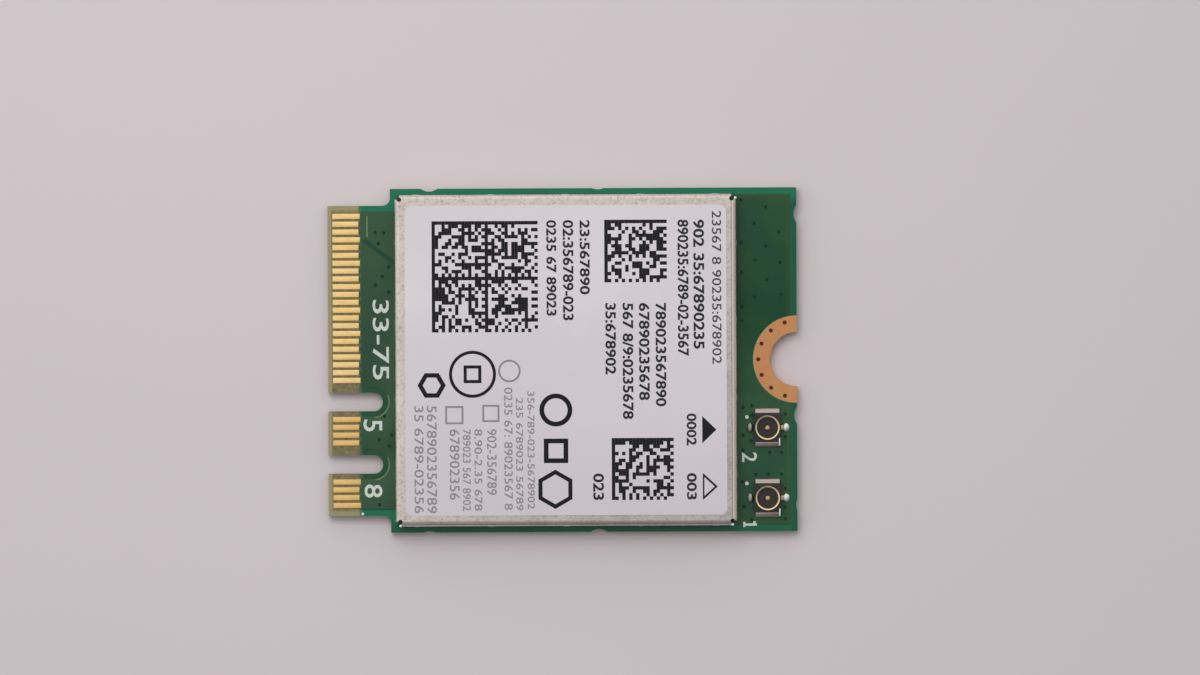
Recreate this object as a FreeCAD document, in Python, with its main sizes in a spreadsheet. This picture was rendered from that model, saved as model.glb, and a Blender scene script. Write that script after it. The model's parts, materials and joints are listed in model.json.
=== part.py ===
# A plug-in wireless network card, 22 mm by 30 mm, in millimetres.
# X runs from the contact tongue (-X) to the screw notch (+X), Y across the card and Z up.
# The origin lies under the middle of the card, on the underside of its circuit board.

import FreeCAD, Part
import math
import os
import Sketcher

Vector = FreeCAD.Vector

# Counts. Contacts are numbered across both faces: odd ones on top, even ones underneath.
CONTACT_COUNT = 75
MIDDLE_CONTACT = (CONTACT_COUNT + 1) / 2
TOP_CONTACTS = {"main": (33, 75), "middle": (17, 23), "end": (1, 7)}
BOTTOM_CONTACTS = {"main": (32, 74), "middle": (16, 22), "end": (2, 6)}
KEYED_CONTACTS = ((8, 15), (24, 31))
RING_VIAS = 7
SIDE_FEET = 5
END_FEET = 4
ANTENNAS = (1, 2)
SUPPLY_CAPACITORS = 9
BYPASS_CAPACITORS_PER_ROW = 4
RESISTORS = 2

# How close two coordinates are when they name the same edge
SAME_PLACE = 1e-6

# Driving dimensions
SIZES = {
    # Circuit board
    "board_length": 30.0,
    "board_thickness": 0.8,
    "tongue_length": 4.0,
    "tongue_margin": 0.5,
    "shoulder_step": 1.075,
    "shoulder_radius": 0.5,
    "bevel_length": 0.28,
    "bevel_depth": 0.1,
    "key_width": 1.2,
    "key_depth": 3.5,
    "screw_notch_diameter": 3.5,
    "ring_width": 1.05,
    "via_diameter": 0.3,
    "via_inset": 0.33,
    "via_angle": 24.0,
    "copper_thickness": 0.04,
    "mask_clearance": 0.05,
    # Dips left along the board's edges where it was broken out of its panel
    "dip_radius": 0.9,
    "deep_dip": 0.18,
    "shallow_dip": 0.08,
    "near_dip_distance": 2.5,
    "far_dip_distance": 13.3,
    "corner_dip_distance": 1.7,
    "antenna_dip_distance": 7.4,
    # Edge contacts
    "contact_pitch": 0.5,
    "contact_width": 0.35,
    "contact_start": 0.3,
    "contact_length": 1.7,
    # Shield can
    "can_shoulder_gap": 0.34,
    "can_side_gap": 0.43,
    "can_height": 1.35,
    "can_sheet": 0.15,
    "can_bend_radius": 0.15,
    "relief_diameter": 0.28,
    "foot_width": 2.2,
    "foot_height": 0.2,
    "side_foot_distance": 1.33,
    "end_foot_distance": 3.15,
    "solder_reach": 0.12,
    "solder_rise": 0.3,
    "solder_length": 0.6,
    # Label
    "label_thickness": 0.08,
    "label_end_margin": 0.64,
    "label_side_margin": 0.69,
    "label_corner_radius": 0.45,
    # Antenna connectors
    "antenna_edge_distance": 1.91,
    "antenna_side_distance": 2.13,
    "antenna_spacing": 4.5,
    "antenna_can_gap": 0.57,
    "shell_diameter": 1.55,
    "shell_wall": 0.16,
    "shell_height": 0.62,
    "shell_rim": 0.1,
    "shell_flare": 0.03,
    "flare_rise": 0.06,
    "neck_depth": 0.04,
    "neck_height": 0.12,
    "rim_chamfer": 0.05,
    "strap_width": 1.55,
    "strap_reach": 1.2,
    "strap_root": 0.2,
    "strap_lap": 0.05,
    "insulator_length": 1.75,
    "insulator_width": 1.85,
    "insulator_height": 0.3,
    "insulator_floor": 0.2,
    "pin_diameter": 0.32,
    "pin_height": 0.46,
    "pin_bevel": 0.07,
    "tail_width": 0.55,
    "tail_thickness": 0.06,
    "tail_reach": 1.27,
    "tail_cover": 0.05,
    "tail_solder": 0.13,
    # Parts under the can
    "part_margin": 0.8,
    "part_gap": 0.6,
    "radio_side": 7.5,
    "radio_height": 0.85,
    "memory_length": 3.0,
    "memory_width": 2.0,
    "memory_height": 0.6,
    "power_side": 3.0,
    "power_height": 0.75,
    "crystal_length": 2.5,
    "crystal_width": 2.0,
    "crystal_height": 0.55,
    "crystal_lid_step": 0.2,
    "crystal_lid_height": 0.15,
    "front_end_length": 2.2,
    "front_end_width": 1.5,
    "front_end_height": 0.6,
    "diplexer_length": 1.6,
    "diplexer_width": 0.8,
    "diplexer_height": 0.6,
    "inductor_length": 2.0,
    "inductor_width": 1.6,
    "inductor_height": 0.8,
    "supply_length": 1.6,
    "supply_width": 0.8,
    "supply_height": 0.8,
    "supply_pitch": 1.75,
    "bypass_length": 1.0,
    "bypass_width": 0.5,
    "bypass_height": 0.5,
    "bypass_pitch": 1.4,
    "resistor_pitch": 0.9,
    "resistor_height": 0.35,
    "terminal_length": 0.25,
    "terminal_lip": 0.02,
}

# Places and sizes worked out from the driving dimensions
DERIVED = {
    "card_tip": "-dims.board_length / 2",
    "card_end": "dims.board_length / 2",
    "shoulder": "derived.card_tip + dims.tongue_length",
    "contact_span": f"dims.contact_pitch / 2 * {CONTACT_COUNT - 1} + dims.contact_width",
    "tongue_half": "derived.contact_span / 2 + dims.tongue_margin",
    "board_half": "derived.tongue_half + dims.shoulder_step",
    "land_end": "derived.card_tip + dims.contact_start + dims.contact_length",
    "top_land": "dims.board_thickness - dims.copper_thickness",
    "ring_diameter": "dims.screw_notch_diameter + 2 * dims.ring_width",
    "via_circle": "derived.ring_diameter / 2 - dims.via_inset",
    "antenna_x": "derived.card_end - dims.antenna_edge_distance",
    "antenna_1_y": "dims.antenna_side_distance - derived.board_half",
    "antenna_2_y": "derived.antenna_1_y + dims.antenna_spacing",
    "can_left": "derived.shoulder + dims.can_shoulder_gap",
    "can_right": "derived.antenna_x - dims.tail_reach - dims.tail_solder - dims.antenna_can_gap",
    "can_half": "derived.board_half - dims.can_side_gap",
    "can_bend": "dims.can_bend_radius + dims.can_sheet",
    "can_ceiling": "dims.can_height - dims.can_sheet",
    "first_side_foot": "derived.can_left + dims.side_foot_distance",
    "first_end_foot": "dims.end_foot_distance - derived.can_half",
    "side_foot_span": "derived.can_right - dims.side_foot_distance - derived.first_side_foot",
    "side_foot_pitch": f"derived.side_foot_span / {SIDE_FEET - 1}",
    "end_foot_pitch": f"-2 * derived.first_end_foot / {END_FEET - 1}",
    "shell_radius": "dims.shell_diameter / 2",
    "bore_radius": "derived.shell_radius - dims.shell_wall",
    "shell_base": "dims.tail_thickness + dims.tail_cover",
    "strap_thickness": "derived.shell_base + dims.strap_lap",
    "inner_left": "derived.can_left + dims.can_sheet + dims.part_margin",
    "inner_right": "derived.can_right - dims.can_sheet - dims.part_margin",
    "inner_half": "derived.can_half - dims.can_sheet - dims.part_margin",
    "supply_x": "derived.inner_left + dims.supply_length / 2",
    "radio_x": "derived.inner_left + dims.supply_length + dims.part_gap + dims.radio_side / 2",
    "bypass_y": "dims.radio_side / 2 + dims.part_gap + dims.bypass_length / 2",
    "outer_row_y": "derived.bypass_y + dims.bypass_length / 2 + dims.part_gap",
    "resistor_x": "derived.radio_x + dims.radio_side / 2 + dims.part_gap + dims.bypass_length / 2",
    "diplexer_x": "derived.inner_right - dims.diplexer_width / 2",
    "front_end_x": "derived.inner_right - dims.diplexer_width - dims.part_gap - dims.front_end_length / 2",
    "power_x": "derived.inner_right - dims.power_side / 2",
    "power_y": "derived.inner_half / 2",
    "inductor_x": "derived.power_x - dims.power_side / 2 - dims.part_gap - dims.inductor_width / 2",
    "inductor_step": "(dims.inductor_length + dims.part_gap) / 2",
}

doc = FreeCAD.newDocument("wireless_card")
subparts = []


def write_sheet():
    sheet = doc.addObject("Spreadsheet::Sheet", "dims")
    for row, (alias, value) in enumerate(SIZES.items(), start=1):
        sheet.set(f"A{row}", str(value))
        sheet.setAlias(f"A{row}", alias)
    doc.recompute()


def write_derived():
    values = doc.addObject("App::VarSet", "derived")
    for name, expression in DERIVED.items():
        values.addProperty("App::PropertyFloat", name)
        values.setExpression(name, expression)
    doc.recompute()
    return values


def measure(expression):
    return float(derived.evalExpression(expression))


# Document helpers

def place(thing, x="0", y="0", z="0"):
    for axis, expression in zip("xyz", (x, y, z)):
        thing.setExpression(f"Placement.Base.{axis}", expression)


def new_body(label, x="0", y="0", z="0"):
    body = doc.addObject("PartDesign::Body", label)
    body.Label = label
    body.AllowCompound = True
    place(body, x, y, z)
    subparts.append(body)
    return body


def datum(body, role):
    return next(feature for feature in body.Origin.OriginFeatures if feature.Role == role)


def new_sketch(body, name, plane="XY_Plane", shift_x="0", lift="0"):
    sketch = body.newObject("Sketcher::SketchObject", name)
    sketch.AttachmentSupport = [(datum(body, plane), "")]
    sketch.MapMode = "FlatFace"
    sketch.setExpression("AttachmentOffset.Base.x", shift_x)
    sketch.setExpression("AttachmentOffset.Base.z", lift)
    return sketch


def size_constraint(sketch, expression, kind, *references):
    index = sketch.addConstraint(Sketcher.Constraint(kind, *references, measure(expression)))
    sketch.setExpression(f"Constraints[{index}]", expression)


def pin_point(sketch, edge, vertex, x, y):
    size_constraint(sketch, x, "DistanceX", -1, 1, edge, vertex)
    size_constraint(sketch, y, "DistanceY", -1, 1, edge, vertex)


def polygon(sketch, corners):
    points = [Vector(measure(x), measure(y), 0) for x, y in corners]
    first = sketch.GeometryCount
    count = len(points)
    for i in range(count):
        sketch.addGeometry(Part.LineSegment(points[i], points[(i + 1) % count]), False)
    for i, (x, y) in enumerate(corners):
        following = first + (i + 1) % count
        sketch.addConstraint(Sketcher.Constraint("Coincident", first + i, 2, following, 1))
        pin_point(sketch, first + i, 1, x, y)


def rectangle(sketch, left, bottom, right, top):
    polygon(sketch, [(left, bottom), (right, bottom), (right, top), (left, top)])


def middle_rectangle(sketch, length, width):
    rectangle(sketch, f"-{length} / 2", f"-{width} / 2", f"{length} / 2", f"{width} / 2")


def circle(sketch, x, y, diameter):
    centre = Vector(measure(x), measure(y), 0)
    edge = sketch.addGeometry(Part.Circle(centre, Vector(0, 0, 1), measure(diameter) / 2), False)
    pin_point(sketch, edge, 3, x, y)
    size_constraint(sketch, diameter, "Diameter", edge)


def round_ended_slot(sketch, mouth_x, centre_x, centre_y, width):
    """A slot that opens at mouth_x and ends in a half circle about the centre."""
    mouth = measure(mouth_x)
    middle = Vector(measure(centre_x), measure(centre_y), 0)
    reach = Vector(0, measure(width) / 2, 0)
    lower_corner = Vector(mouth, middle.y - reach.y, 0)
    upper_corner = Vector(mouth, middle.y + reach.y, 0)
    lower = sketch.addGeometry(Part.LineSegment(lower_corner, middle - reach), False)
    full_circle = Part.Circle(middle, Vector(0, 0, 1), reach.y)
    arc = sketch.addGeometry(Part.ArcOfCircle(full_circle, -math.pi / 2, math.pi / 2), False)
    upper = sketch.addGeometry(Part.LineSegment(middle + reach, upper_corner), False)
    close = sketch.addGeometry(Part.LineSegment(upper_corner, lower_corner), False)
    sketch.addConstraint(Sketcher.Constraint("Tangent", lower, 2, arc, 1))
    sketch.addConstraint(Sketcher.Constraint("Tangent", arc, 2, upper, 1))
    sketch.addConstraint(Sketcher.Constraint("Coincident", upper, 2, close, 1))
    sketch.addConstraint(Sketcher.Constraint("Coincident", close, 2, lower, 1))
    sketch.addConstraint(Sketcher.Constraint("Horizontal", lower))
    sketch.addConstraint(Sketcher.Constraint("Horizontal", upper))
    sketch.addConstraint(Sketcher.Constraint("Vertical", close))
    pin_point(sketch, arc, 3, centre_x, centre_y)
    size_constraint(sketch, width, "Diameter", arc)
    size_constraint(sketch, mouth_x, "DistanceX", -1, 1, lower, 1)


def pad(body, name, sketch, length, symmetric=False):
    feature = body.newObject("PartDesign::Pad", name)
    feature.Profile = sketch
    feature.setExpression("Length", length)
    if symmetric:
        feature.SideType = "Symmetric"
    return feature


def pocket(body, name, sketch, depth, upward=False):
    feature = body.newObject("PartDesign::Pocket", name)
    feature.Profile = sketch
    feature.setExpression("Length", depth)
    feature.Reversed = upward
    return feature


def through_pocket(body, name, sketch):
    feature = body.newObject("PartDesign::Pocket", name)
    feature.Profile = sketch
    feature.Type = "ThroughAll"
    feature.SideType = "Symmetric"
    return feature


def dress_edges(body, kind, name, base, chosen):
    doc.recompute()
    edges = enumerate(base.Shape.Edges, start=1)
    feature = body.newObject(f"PartDesign::{kind}", name)
    feature.Base = (base, [f"Edge{number}" for number, edge in edges if chosen(edge)])
    return feature


def round_edges(body, name, base, radius, chosen):
    feature = dress_edges(body, "Fillet", name, base, chosen)
    feature.setExpression("Radius", radius)


def bevel_edges(body, name, base, size, chosen):
    feature = dress_edges(body, "Chamfer", name, base, chosen)
    feature.setExpression("Size", size)


def lies_at_height(expression):
    height = measure(expression)
    return lambda edge: all(abs(vertex.Z - height) < SAME_PLACE for vertex in edge.Vertexes)


def stands_upright(edge):
    start, end = edge.Vertexes[0].Point, edge.Vertexes[-1].Point
    return abs(start.z - end.z) > SAME_PLACE


def repeat_along(body, name, features, axis, spacing, count):
    pattern = body.newObject("PartDesign::LinearPattern", name)
    pattern.Originals = features
    pattern.Direction = (datum(body, axis), [""])
    pattern.Mode = "Spacing"
    pattern.setExpression("Offset", spacing)
    pattern.Occurrences = count
    body.Tip = pattern


def repeat_round(body, name, feature, axis, angle, count):
    pattern = body.newObject("PartDesign::PolarPattern", name)
    pattern.Originals = [feature]
    pattern.Axis = axis
    pattern.Mode = "Spacing"
    pattern.setExpression("Offset", angle)
    pattern.Occurrences = count
    body.Tip = pattern


# Circuit board

def contact_y(number):
    return f"dims.contact_pitch / 2 * ({number - MIDDLE_CONTACT})"


def first_via(sketch):
    half_fan = f"{(RING_VIAS - 1) / 2} * dims.via_angle * 1 deg"
    x = f"-derived.via_circle * cos({half_fan})"
    y = f"derived.via_circle * sin({half_fan})"
    circle(sketch, x, y, "dims.via_diameter")


def build_circuit_board():
    body = new_body("circuit_board")

    outline = new_sketch(body, "board_outline")
    polygon(outline, [
        ("derived.card_tip", "-derived.tongue_half"),
        ("derived.shoulder", "-derived.tongue_half"),
        ("derived.shoulder", "-derived.board_half"),
        ("derived.card_end", "-derived.board_half"),
        ("derived.card_end", "derived.board_half"),
        ("derived.shoulder", "derived.board_half"),
        ("derived.shoulder", "derived.tongue_half"),
        ("derived.card_tip", "derived.tongue_half"),
    ])
    blank = pad(body, "board_blank", outline, "dims.board_thickness")

    shoulder = measure("derived.shoulder")
    tongue_half = measure("derived.tongue_half")

    def is_inner_shoulder(edge):
        ends = [vertex.Point for vertex in edge.Vertexes]
        at_root = all(abs(end.x - shoulder) < SAME_PLACE for end in ends)
        return at_root and all(abs(abs(end.y) - tongue_half) < SAME_PLACE for end in ends)

    round_edges(body, "shoulder_rounds", blank, "dims.shoulder_radius", is_inner_shoulder)

    keys = new_sketch(body, "key_outlines")
    mouth = "derived.card_tip - dims.key_width"
    end_centre = "derived.card_tip + dims.key_depth - dims.key_width / 2"
    for first, last in KEYED_CONTACTS:
        round_ended_slot(keys, mouth, end_centre, contact_y((first + last) / 2), "dims.key_width")
    through_pocket(body, "key_notches", keys)

    screw = new_sketch(body, "screw_circle")
    circle(screw, "derived.card_end", "0", "dims.screw_notch_diameter")
    through_pocket(body, "screw_notch", screw)

    build_edge_dips(body)

    for face, lift, upward in (("top", "dims.board_thickness", False), ("bottom", "0", True)):
        land = new_sketch(body, f"{face}_land_outline", lift=lift)
        rectangle(land, "derived.card_tip - dims.contact_start", "-derived.board_half",
                  "derived.land_end", "derived.board_half")
        circle(land, "derived.card_end", "0", "derived.ring_diameter + 2 * dims.mask_clearance")
        pocket(body, f"{face}_land", land, "dims.copper_thickness", upward)

    bevels = new_sketch(body, "bevel_outlines", "XZ_Plane")
    before, past = "derived.card_tip - dims.bevel_length", "derived.card_tip + 2 * dims.bevel_length"
    for land, side in (("derived.top_land", "-"), ("dims.copper_thickness", "+")):
        beyond = "+" if side == "-" else "-"
        polygon(bevels, [
            (before, f"{land} {side} 2 * dims.bevel_depth"),
            (past, f"{land} {beyond} dims.bevel_depth"),
            (before, f"{land} {beyond} dims.bevel_depth"),
        ])
    through_pocket(body, "tip_bevels", bevels)

    via = new_sketch(body, "via_circle", shift_x="derived.card_end")
    first_via(via)
    hole = through_pocket(body, "via_hole", via)
    repeat_round(body, "via_holes", hole, (via, ["N_Axis"]), "dims.via_angle", RING_VIAS)


def build_edge_dips(body):
    """Shallow round dips where the board was broken out of its panel."""
    near = "derived.shoulder + dims.near_dip_distance"
    far = "derived.shoulder + dims.far_dip_distance"
    deep = "dims.dip_radius - dims.deep_dip"
    shallow = "dims.dip_radius - dims.shallow_dip"
    dips = new_sketch(body, "dip_circles")
    centres = [
        (near, f"derived.board_half + {deep}"),
        (far, f"derived.board_half + {shallow}"),
        (near, f"-derived.board_half - ({shallow})"),
        (far, f"-derived.board_half - ({deep})"),
        (f"derived.card_end + {deep}", "derived.board_half - dims.corner_dip_distance"),
        (f"derived.card_end + {deep}", "dims.antenna_dip_distance - derived.board_half"),
        (f"derived.card_end + {shallow}", "dims.corner_dip_distance - derived.board_half"),
    ]
    for x, y in centres:
        circle(dips, x, y, "2 * dims.dip_radius")
    through_pocket(body, "edge_dips", dips)


# Gold contacts and the copper rings of the screw notch, inlaid level with the board's faces

def build_contacts(label, first, last, level):
    body = new_body(label, z=level)
    outline = new_sketch(body, f"{label}_outline")
    bottom = f"{contact_y(first)} - dims.contact_width / 2"
    top = f"{contact_y(first)} + dims.contact_width / 2"
    rectangle(outline, "derived.card_tip + dims.contact_start", bottom, "derived.land_end", top)
    contact = pad(body, f"{label}_first", outline, "dims.copper_thickness")
    count = (last - first) // 2 + 1
    repeat_along(body, f"{label}_row", [contact], "Y_Axis", "dims.contact_pitch", count)


def build_ground_ring(label, level):
    body = new_body(label, x="derived.card_end", z=level)
    outline = new_sketch(body, f"{label}_outline")
    circle(outline, "0", "0", "derived.ring_diameter")
    circle(outline, "0", "0", "dims.screw_notch_diameter")
    pad(body, f"{label}_washer", outline, "dims.copper_thickness")
    beyond = new_sketch(body, f"{label}_beyond_board")
    rectangle(beyond, "0", "-derived.ring_diameter", "derived.ring_diameter", "derived.ring_diameter")
    through_pocket(body, f"{label}_trim", beyond)
    via = new_sketch(body, f"{label}_via")
    first_via(via)
    hole = through_pocket(body, f"{label}_hole", via)
    axis = (datum(body, "Z_Axis"), [""])
    repeat_round(body, f"{label}_holes", hole, axis, "dims.via_angle", RING_VIAS)


# Shield can, folded from one sheet, with its solder and its label

def build_shield_can():
    body = new_body("shield_can", z="dims.board_thickness")

    outline = new_sketch(body, "can_outline")
    rectangle(outline, "derived.can_left", "-derived.can_half", "derived.can_right", "derived.can_half")
    block = pad(body, "can_block", outline, "dims.can_height")
    round_edges(body, "can_outer_bends", block, "derived.can_bend", lies_at_height("dims.can_height"))

    inside = new_sketch(body, "can_inside")
    rectangle(inside, "derived.can_left + dims.can_sheet", "-derived.can_half + dims.can_sheet",
              "derived.can_right - dims.can_sheet", "derived.can_half - dims.can_sheet")
    hollow = pocket(body, "can_hollow", inside, "derived.can_ceiling", upward=True)
    ceiling = lies_at_height("derived.can_ceiling")
    round_edges(body, "can_inner_bends", hollow, "dims.can_bend_radius", ceiling)

    corners = new_sketch(body, "can_open_corners")
    reliefs = new_sketch(body, "can_relief_circles")
    outward = "dims.can_sheet"
    for side in ("", "-"):
        bend = f"{side}(derived.can_half - derived.can_bend)"
        past = f"{side}(derived.can_half + {outward})"
        low, high = sorted((bend, past), key=measure)
        left_bend = "derived.can_left + derived.can_bend"
        right_bend = "derived.can_right - derived.can_bend"
        rectangle(corners, f"derived.can_left - {outward}", low, left_bend, high)
        rectangle(corners, right_bend, low, f"derived.can_right + {outward}", high)
        circle(reliefs, left_bend, bend, "dims.relief_diameter")
        circle(reliefs, right_bend, bend, "dims.relief_diameter")
    through_pocket(body, "can_corner_slits", corners)
    through_pocket(body, "can_corner_reliefs", reliefs)

    side_gap = new_sketch(body, "can_side_gap", "XZ_Plane")
    foot_gap(side_gap, "derived.first_side_foot", "derived.side_foot_pitch")
    side_cut = through_pocket(body, "can_side_gap_cut", side_gap)
    repeat_along(body, "can_side_gaps", [side_cut], "X_Axis", "derived.side_foot_pitch", SIDE_FEET - 1)

    end_gap = new_sketch(body, "can_end_gap", "YZ_Plane")
    foot_gap(end_gap, "derived.first_end_foot", "derived.end_foot_pitch")
    end_cut = through_pocket(body, "can_end_gap_cut", end_gap)
    repeat_along(body, "can_end_gaps", [end_cut], "Y_Axis", "derived.end_foot_pitch", END_FEET - 1)


def foot_gap(sketch, first_foot, pitch):
    """The opening under the wall between the first foot and the next."""
    start = f"{first_foot} + dims.foot_width / 2"
    end = f"{first_foot} + {pitch} - dims.foot_width / 2"
    rectangle(sketch, start, "-dims.foot_height", end, "dims.foot_height")


def solder_wedge(sketch, wall, reach, rise):
    """A triangle against a wall, with its toe reaching outwards along the board."""
    polygon(sketch, [(wall, "0"), (f"{wall} {reach}", "0"), (wall, rise)])


def build_shield_solder():
    body = new_body("shield_solder", z="dims.board_thickness")

    sides = new_sketch(body, "side_solder_outline", "YZ_Plane", lift="derived.first_side_foot")
    solder_wedge(sides, "derived.can_half", "+ dims.solder_reach", "dims.solder_rise")
    solder_wedge(sides, "-derived.can_half", "- dims.solder_reach", "dims.solder_rise")
    first_side = pad(body, "first_side_solder", sides, "dims.solder_length", symmetric=True)
    repeat_along(body, "side_solder", [first_side], "X_Axis", "derived.side_foot_pitch", SIDE_FEET)

    ends = new_sketch(body, "end_solder_outline", "XZ_Plane", lift="-derived.first_end_foot")
    solder_wedge(ends, "derived.can_left", "- dims.solder_reach", "dims.solder_rise")
    solder_wedge(ends, "derived.can_right", "+ dims.solder_reach", "dims.solder_rise")
    first_end = pad(body, "first_end_solder", ends, "dims.solder_length", symmetric=True)
    repeat_along(body, "end_solder", [first_end], "Y_Axis", "derived.end_foot_pitch", END_FEET)


def build_label():
    body = new_body("label", z="dims.board_thickness + dims.can_height")
    outline = new_sketch(body, "label_outline")
    rectangle(outline, "derived.can_left + dims.label_end_margin",
              "-derived.can_half + dims.label_side_margin",
              "derived.can_right - dims.label_end_margin",
              "derived.can_half - dims.label_side_margin")
    sheet = pad(body, "label_sheet", outline, "dims.label_thickness")
    round_edges(body, "label_corners", sheet, "dims.label_corner_radius", stands_upright)


# Coaxial antenna connectors

def build_antenna_shell(label, y):
    """The drawn outer contact: a tube, flared at its foot and necked below its rim, on straps and a lug."""
    body = new_body(label, "derived.antenna_x", y, "dims.board_thickness")
    straps = new_sketch(body, f"{label}_straps")
    root = "derived.shell_radius - dims.strap_root"
    half_strap = "dims.strap_width / 2"
    rectangle(straps, f"-{half_strap}", root, half_strap, "dims.strap_reach")
    rectangle(straps, f"-{half_strap}", "-dims.strap_reach", half_strap, f"-({root})")
    rectangle(straps, root, "-dims.tail_width / 2", "dims.tail_reach", "dims.tail_width / 2")
    pad(body, f"{label}_feet", straps, "derived.strap_thickness")

    profile = new_sketch(body, f"{label}_profile", "XZ_Plane")
    rim_low = "dims.shell_height - dims.shell_rim"
    neck_low = f"{rim_low} - dims.neck_height"
    neck = "derived.shell_radius - dims.neck_depth"
    polygon(profile, [
        ("derived.bore_radius", "derived.shell_base"),
        ("derived.shell_radius + dims.shell_flare", "derived.shell_base"),
        ("derived.shell_radius", "dims.insulator_height + dims.flare_rise"),
        ("derived.shell_radius", neck_low),
        (neck, f"{rim_low} - dims.neck_height / 2"),
        ("derived.shell_radius", rim_low),
        ("derived.shell_radius", "dims.shell_height - dims.rim_chamfer"),
        ("derived.shell_radius - dims.rim_chamfer", "dims.shell_height"),
        ("derived.bore_radius", "dims.shell_height"),
    ])
    tube = body.newObject("PartDesign::Revolution", f"{label}_tube")
    tube.Profile = profile
    tube.ReferenceAxis = (profile, ["V_Axis"])
    tube.Angle = 360
    return body


def build_antenna_pin(label, y):
    body = new_body(label, "derived.antenna_x", y, "dims.board_thickness")
    tail = new_sketch(body, f"{label}_tail_outline")
    rectangle(tail, "-dims.tail_reach", "-dims.tail_width / 2", "dims.pin_diameter / 2",
              "dims.tail_width / 2")
    pad(body, f"{label}_tail", tail, "dims.tail_thickness")
    post = new_sketch(body, f"{label}_post_circle")
    circle(post, "0", "0", "dims.pin_diameter")
    post_pad = pad(body, f"{label}_post", post, "dims.pin_height")
    bevel_edges(body, f"{label}_tip", post_pad, "dims.pin_bevel", lies_at_height("dims.pin_height"))
    return body


def build_antenna_insulator(label, y, shell, pin):
    """The base that is moulded around the shell's straps and the pin's tail."""
    block = doc.addObject("Part::Box", f"{label}_block")
    block.setExpression("Length", "dims.insulator_length")
    block.setExpression("Width", "dims.insulator_width")
    block.setExpression("Height", "dims.insulator_height")
    place(block, "derived.antenna_x - dims.insulator_length / 2", f"{y} - dims.insulator_width / 2",
          "dims.board_thickness")
    bore = doc.addObject("Part::Cylinder", f"{label}_bore")
    bore.setExpression("Radius", "derived.bore_radius")
    bore.setExpression("Height", "dims.insulator_height")
    place(bore, "derived.antenna_x", y, "dims.board_thickness + dims.insulator_floor")
    remainder = block
    for name, tool in (("bored", bore), ("seated", shell), ("pinned", pin)):
        cut = doc.addObject("Part::Cut", f"{label}_{name}")
        cut.Base = remainder
        cut.Tool = tool
        remainder = cut
    remainder.Label = label
    subparts.append(remainder)


def build_antenna_solder(label, y):
    body = new_body(label, "derived.antenna_x", y, "dims.board_thickness")
    straps = new_sketch(body, f"{label}_strap_outline", "YZ_Plane")
    solder_wedge(straps, "dims.strap_reach", "+ dims.solder_reach", "derived.strap_thickness")
    solder_wedge(straps, "-dims.strap_reach", "- dims.solder_reach", "derived.strap_thickness")
    pad(body, f"{label}_at_straps", straps, "dims.strap_width", symmetric=True)
    tails = new_sketch(body, f"{label}_tail_outline", "XZ_Plane")
    solder_wedge(tails, "dims.tail_reach", "+ dims.tail_solder", "derived.strap_thickness")
    solder_wedge(tails, "-dims.tail_reach", "- dims.tail_solder", "dims.tail_thickness")
    pad(body, f"{label}_at_tails", tails, "dims.tail_width", symmetric=True)


def build_antenna(number):
    y = f"derived.antenna_{number}_y"
    shell = build_antenna_shell(f"antenna_{number}_shell", y)
    pin = build_antenna_pin(f"antenna_{number}_pin", y)
    build_antenna_insulator(f"antenna_{number}_insulator", y, shell, pin)
    build_antenna_solder(f"antenna_{number}_solder", y)


# Parts soldered to the board under the can

def build_chip(label, x, y, length, width, height):
    body = new_body(label, x, y, "dims.board_thickness")
    outline = new_sketch(body, f"{label}_outline")
    middle_rectangle(outline, length, width)
    pad(body, f"{label}_package", outline, height)


def build_crystal():
    """A ceramic tray with a smaller metal lid."""
    body = new_body("clock_crystal", "derived.radio_x",
                    "-derived.outer_row_y - dims.crystal_width / 2", "dims.board_thickness")
    tray = new_sketch(body, "crystal_tray_outline")
    middle_rectangle(tray, "dims.crystal_length", "dims.crystal_width")
    pad(body, "crystal_tray", tray, "dims.crystal_height - dims.crystal_lid_height")
    lid = new_sketch(body, "crystal_lid_outline")
    middle_rectangle(lid, "(dims.crystal_length - dims.crystal_lid_step)",
                     "(dims.crystal_width - dims.crystal_lid_step)")
    pad(body, "crystal_lid", lid, "dims.crystal_height")


def two_ended_part(body, label, x, y, length, width, height, along_x):
    """A small part with a metal cap over each end; returns its features for repeating."""
    core = new_sketch(body, f"{label}_core_outline")
    caps = new_sketch(body, f"{label}_cap_outlines")
    cap_width = f"({width} / 2 + dims.terminal_lip)"
    inner = f"({length} / 2 - dims.terminal_length)"

    def span(sketch, start, end, half_width):
        if along_x:
            rectangle(sketch, f"{x} + {start}", f"{y} - {half_width}", f"{x} + {end}",
                      f"{y} + {half_width}")
        else:
            rectangle(sketch, f"{x} - {half_width}", f"{y} + {start}", f"{x} + {half_width}",
                      f"{y} + {end}")

    span(core, f"-{inner}", inner, f"{width} / 2")
    span(caps, f"-{length} / 2", f"-{inner}", cap_width)
    span(caps, inner, f"{length} / 2", cap_width)
    core_pad = pad(body, f"{label}_core", core, height)
    caps_pad = pad(body, f"{label}_caps", caps, f"{height} + dims.terminal_lip")
    return [core_pad, caps_pad]


def build_single(label, x, y, kind, along_x):
    body = new_body(label, x, y, "dims.board_thickness")
    two_ended_part(body, label, "0", "0", f"dims.{kind}_length", f"dims.{kind}_width",
                   f"dims.{kind}_height", along_x)


def build_supply_capacitors():
    label = "supply_capacitors"
    body = new_body(label, z="dims.board_thickness")
    first_y = "(dims.supply_width / 2 - derived.inner_half)"
    first = two_ended_part(body, label, "derived.supply_x", first_y, "dims.supply_length",
                           "dims.supply_width", "dims.supply_height", along_x=True)
    repeat_along(body, f"{label}_row", first, "Y_Axis", "dims.supply_pitch", SUPPLY_CAPACITORS)


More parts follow.
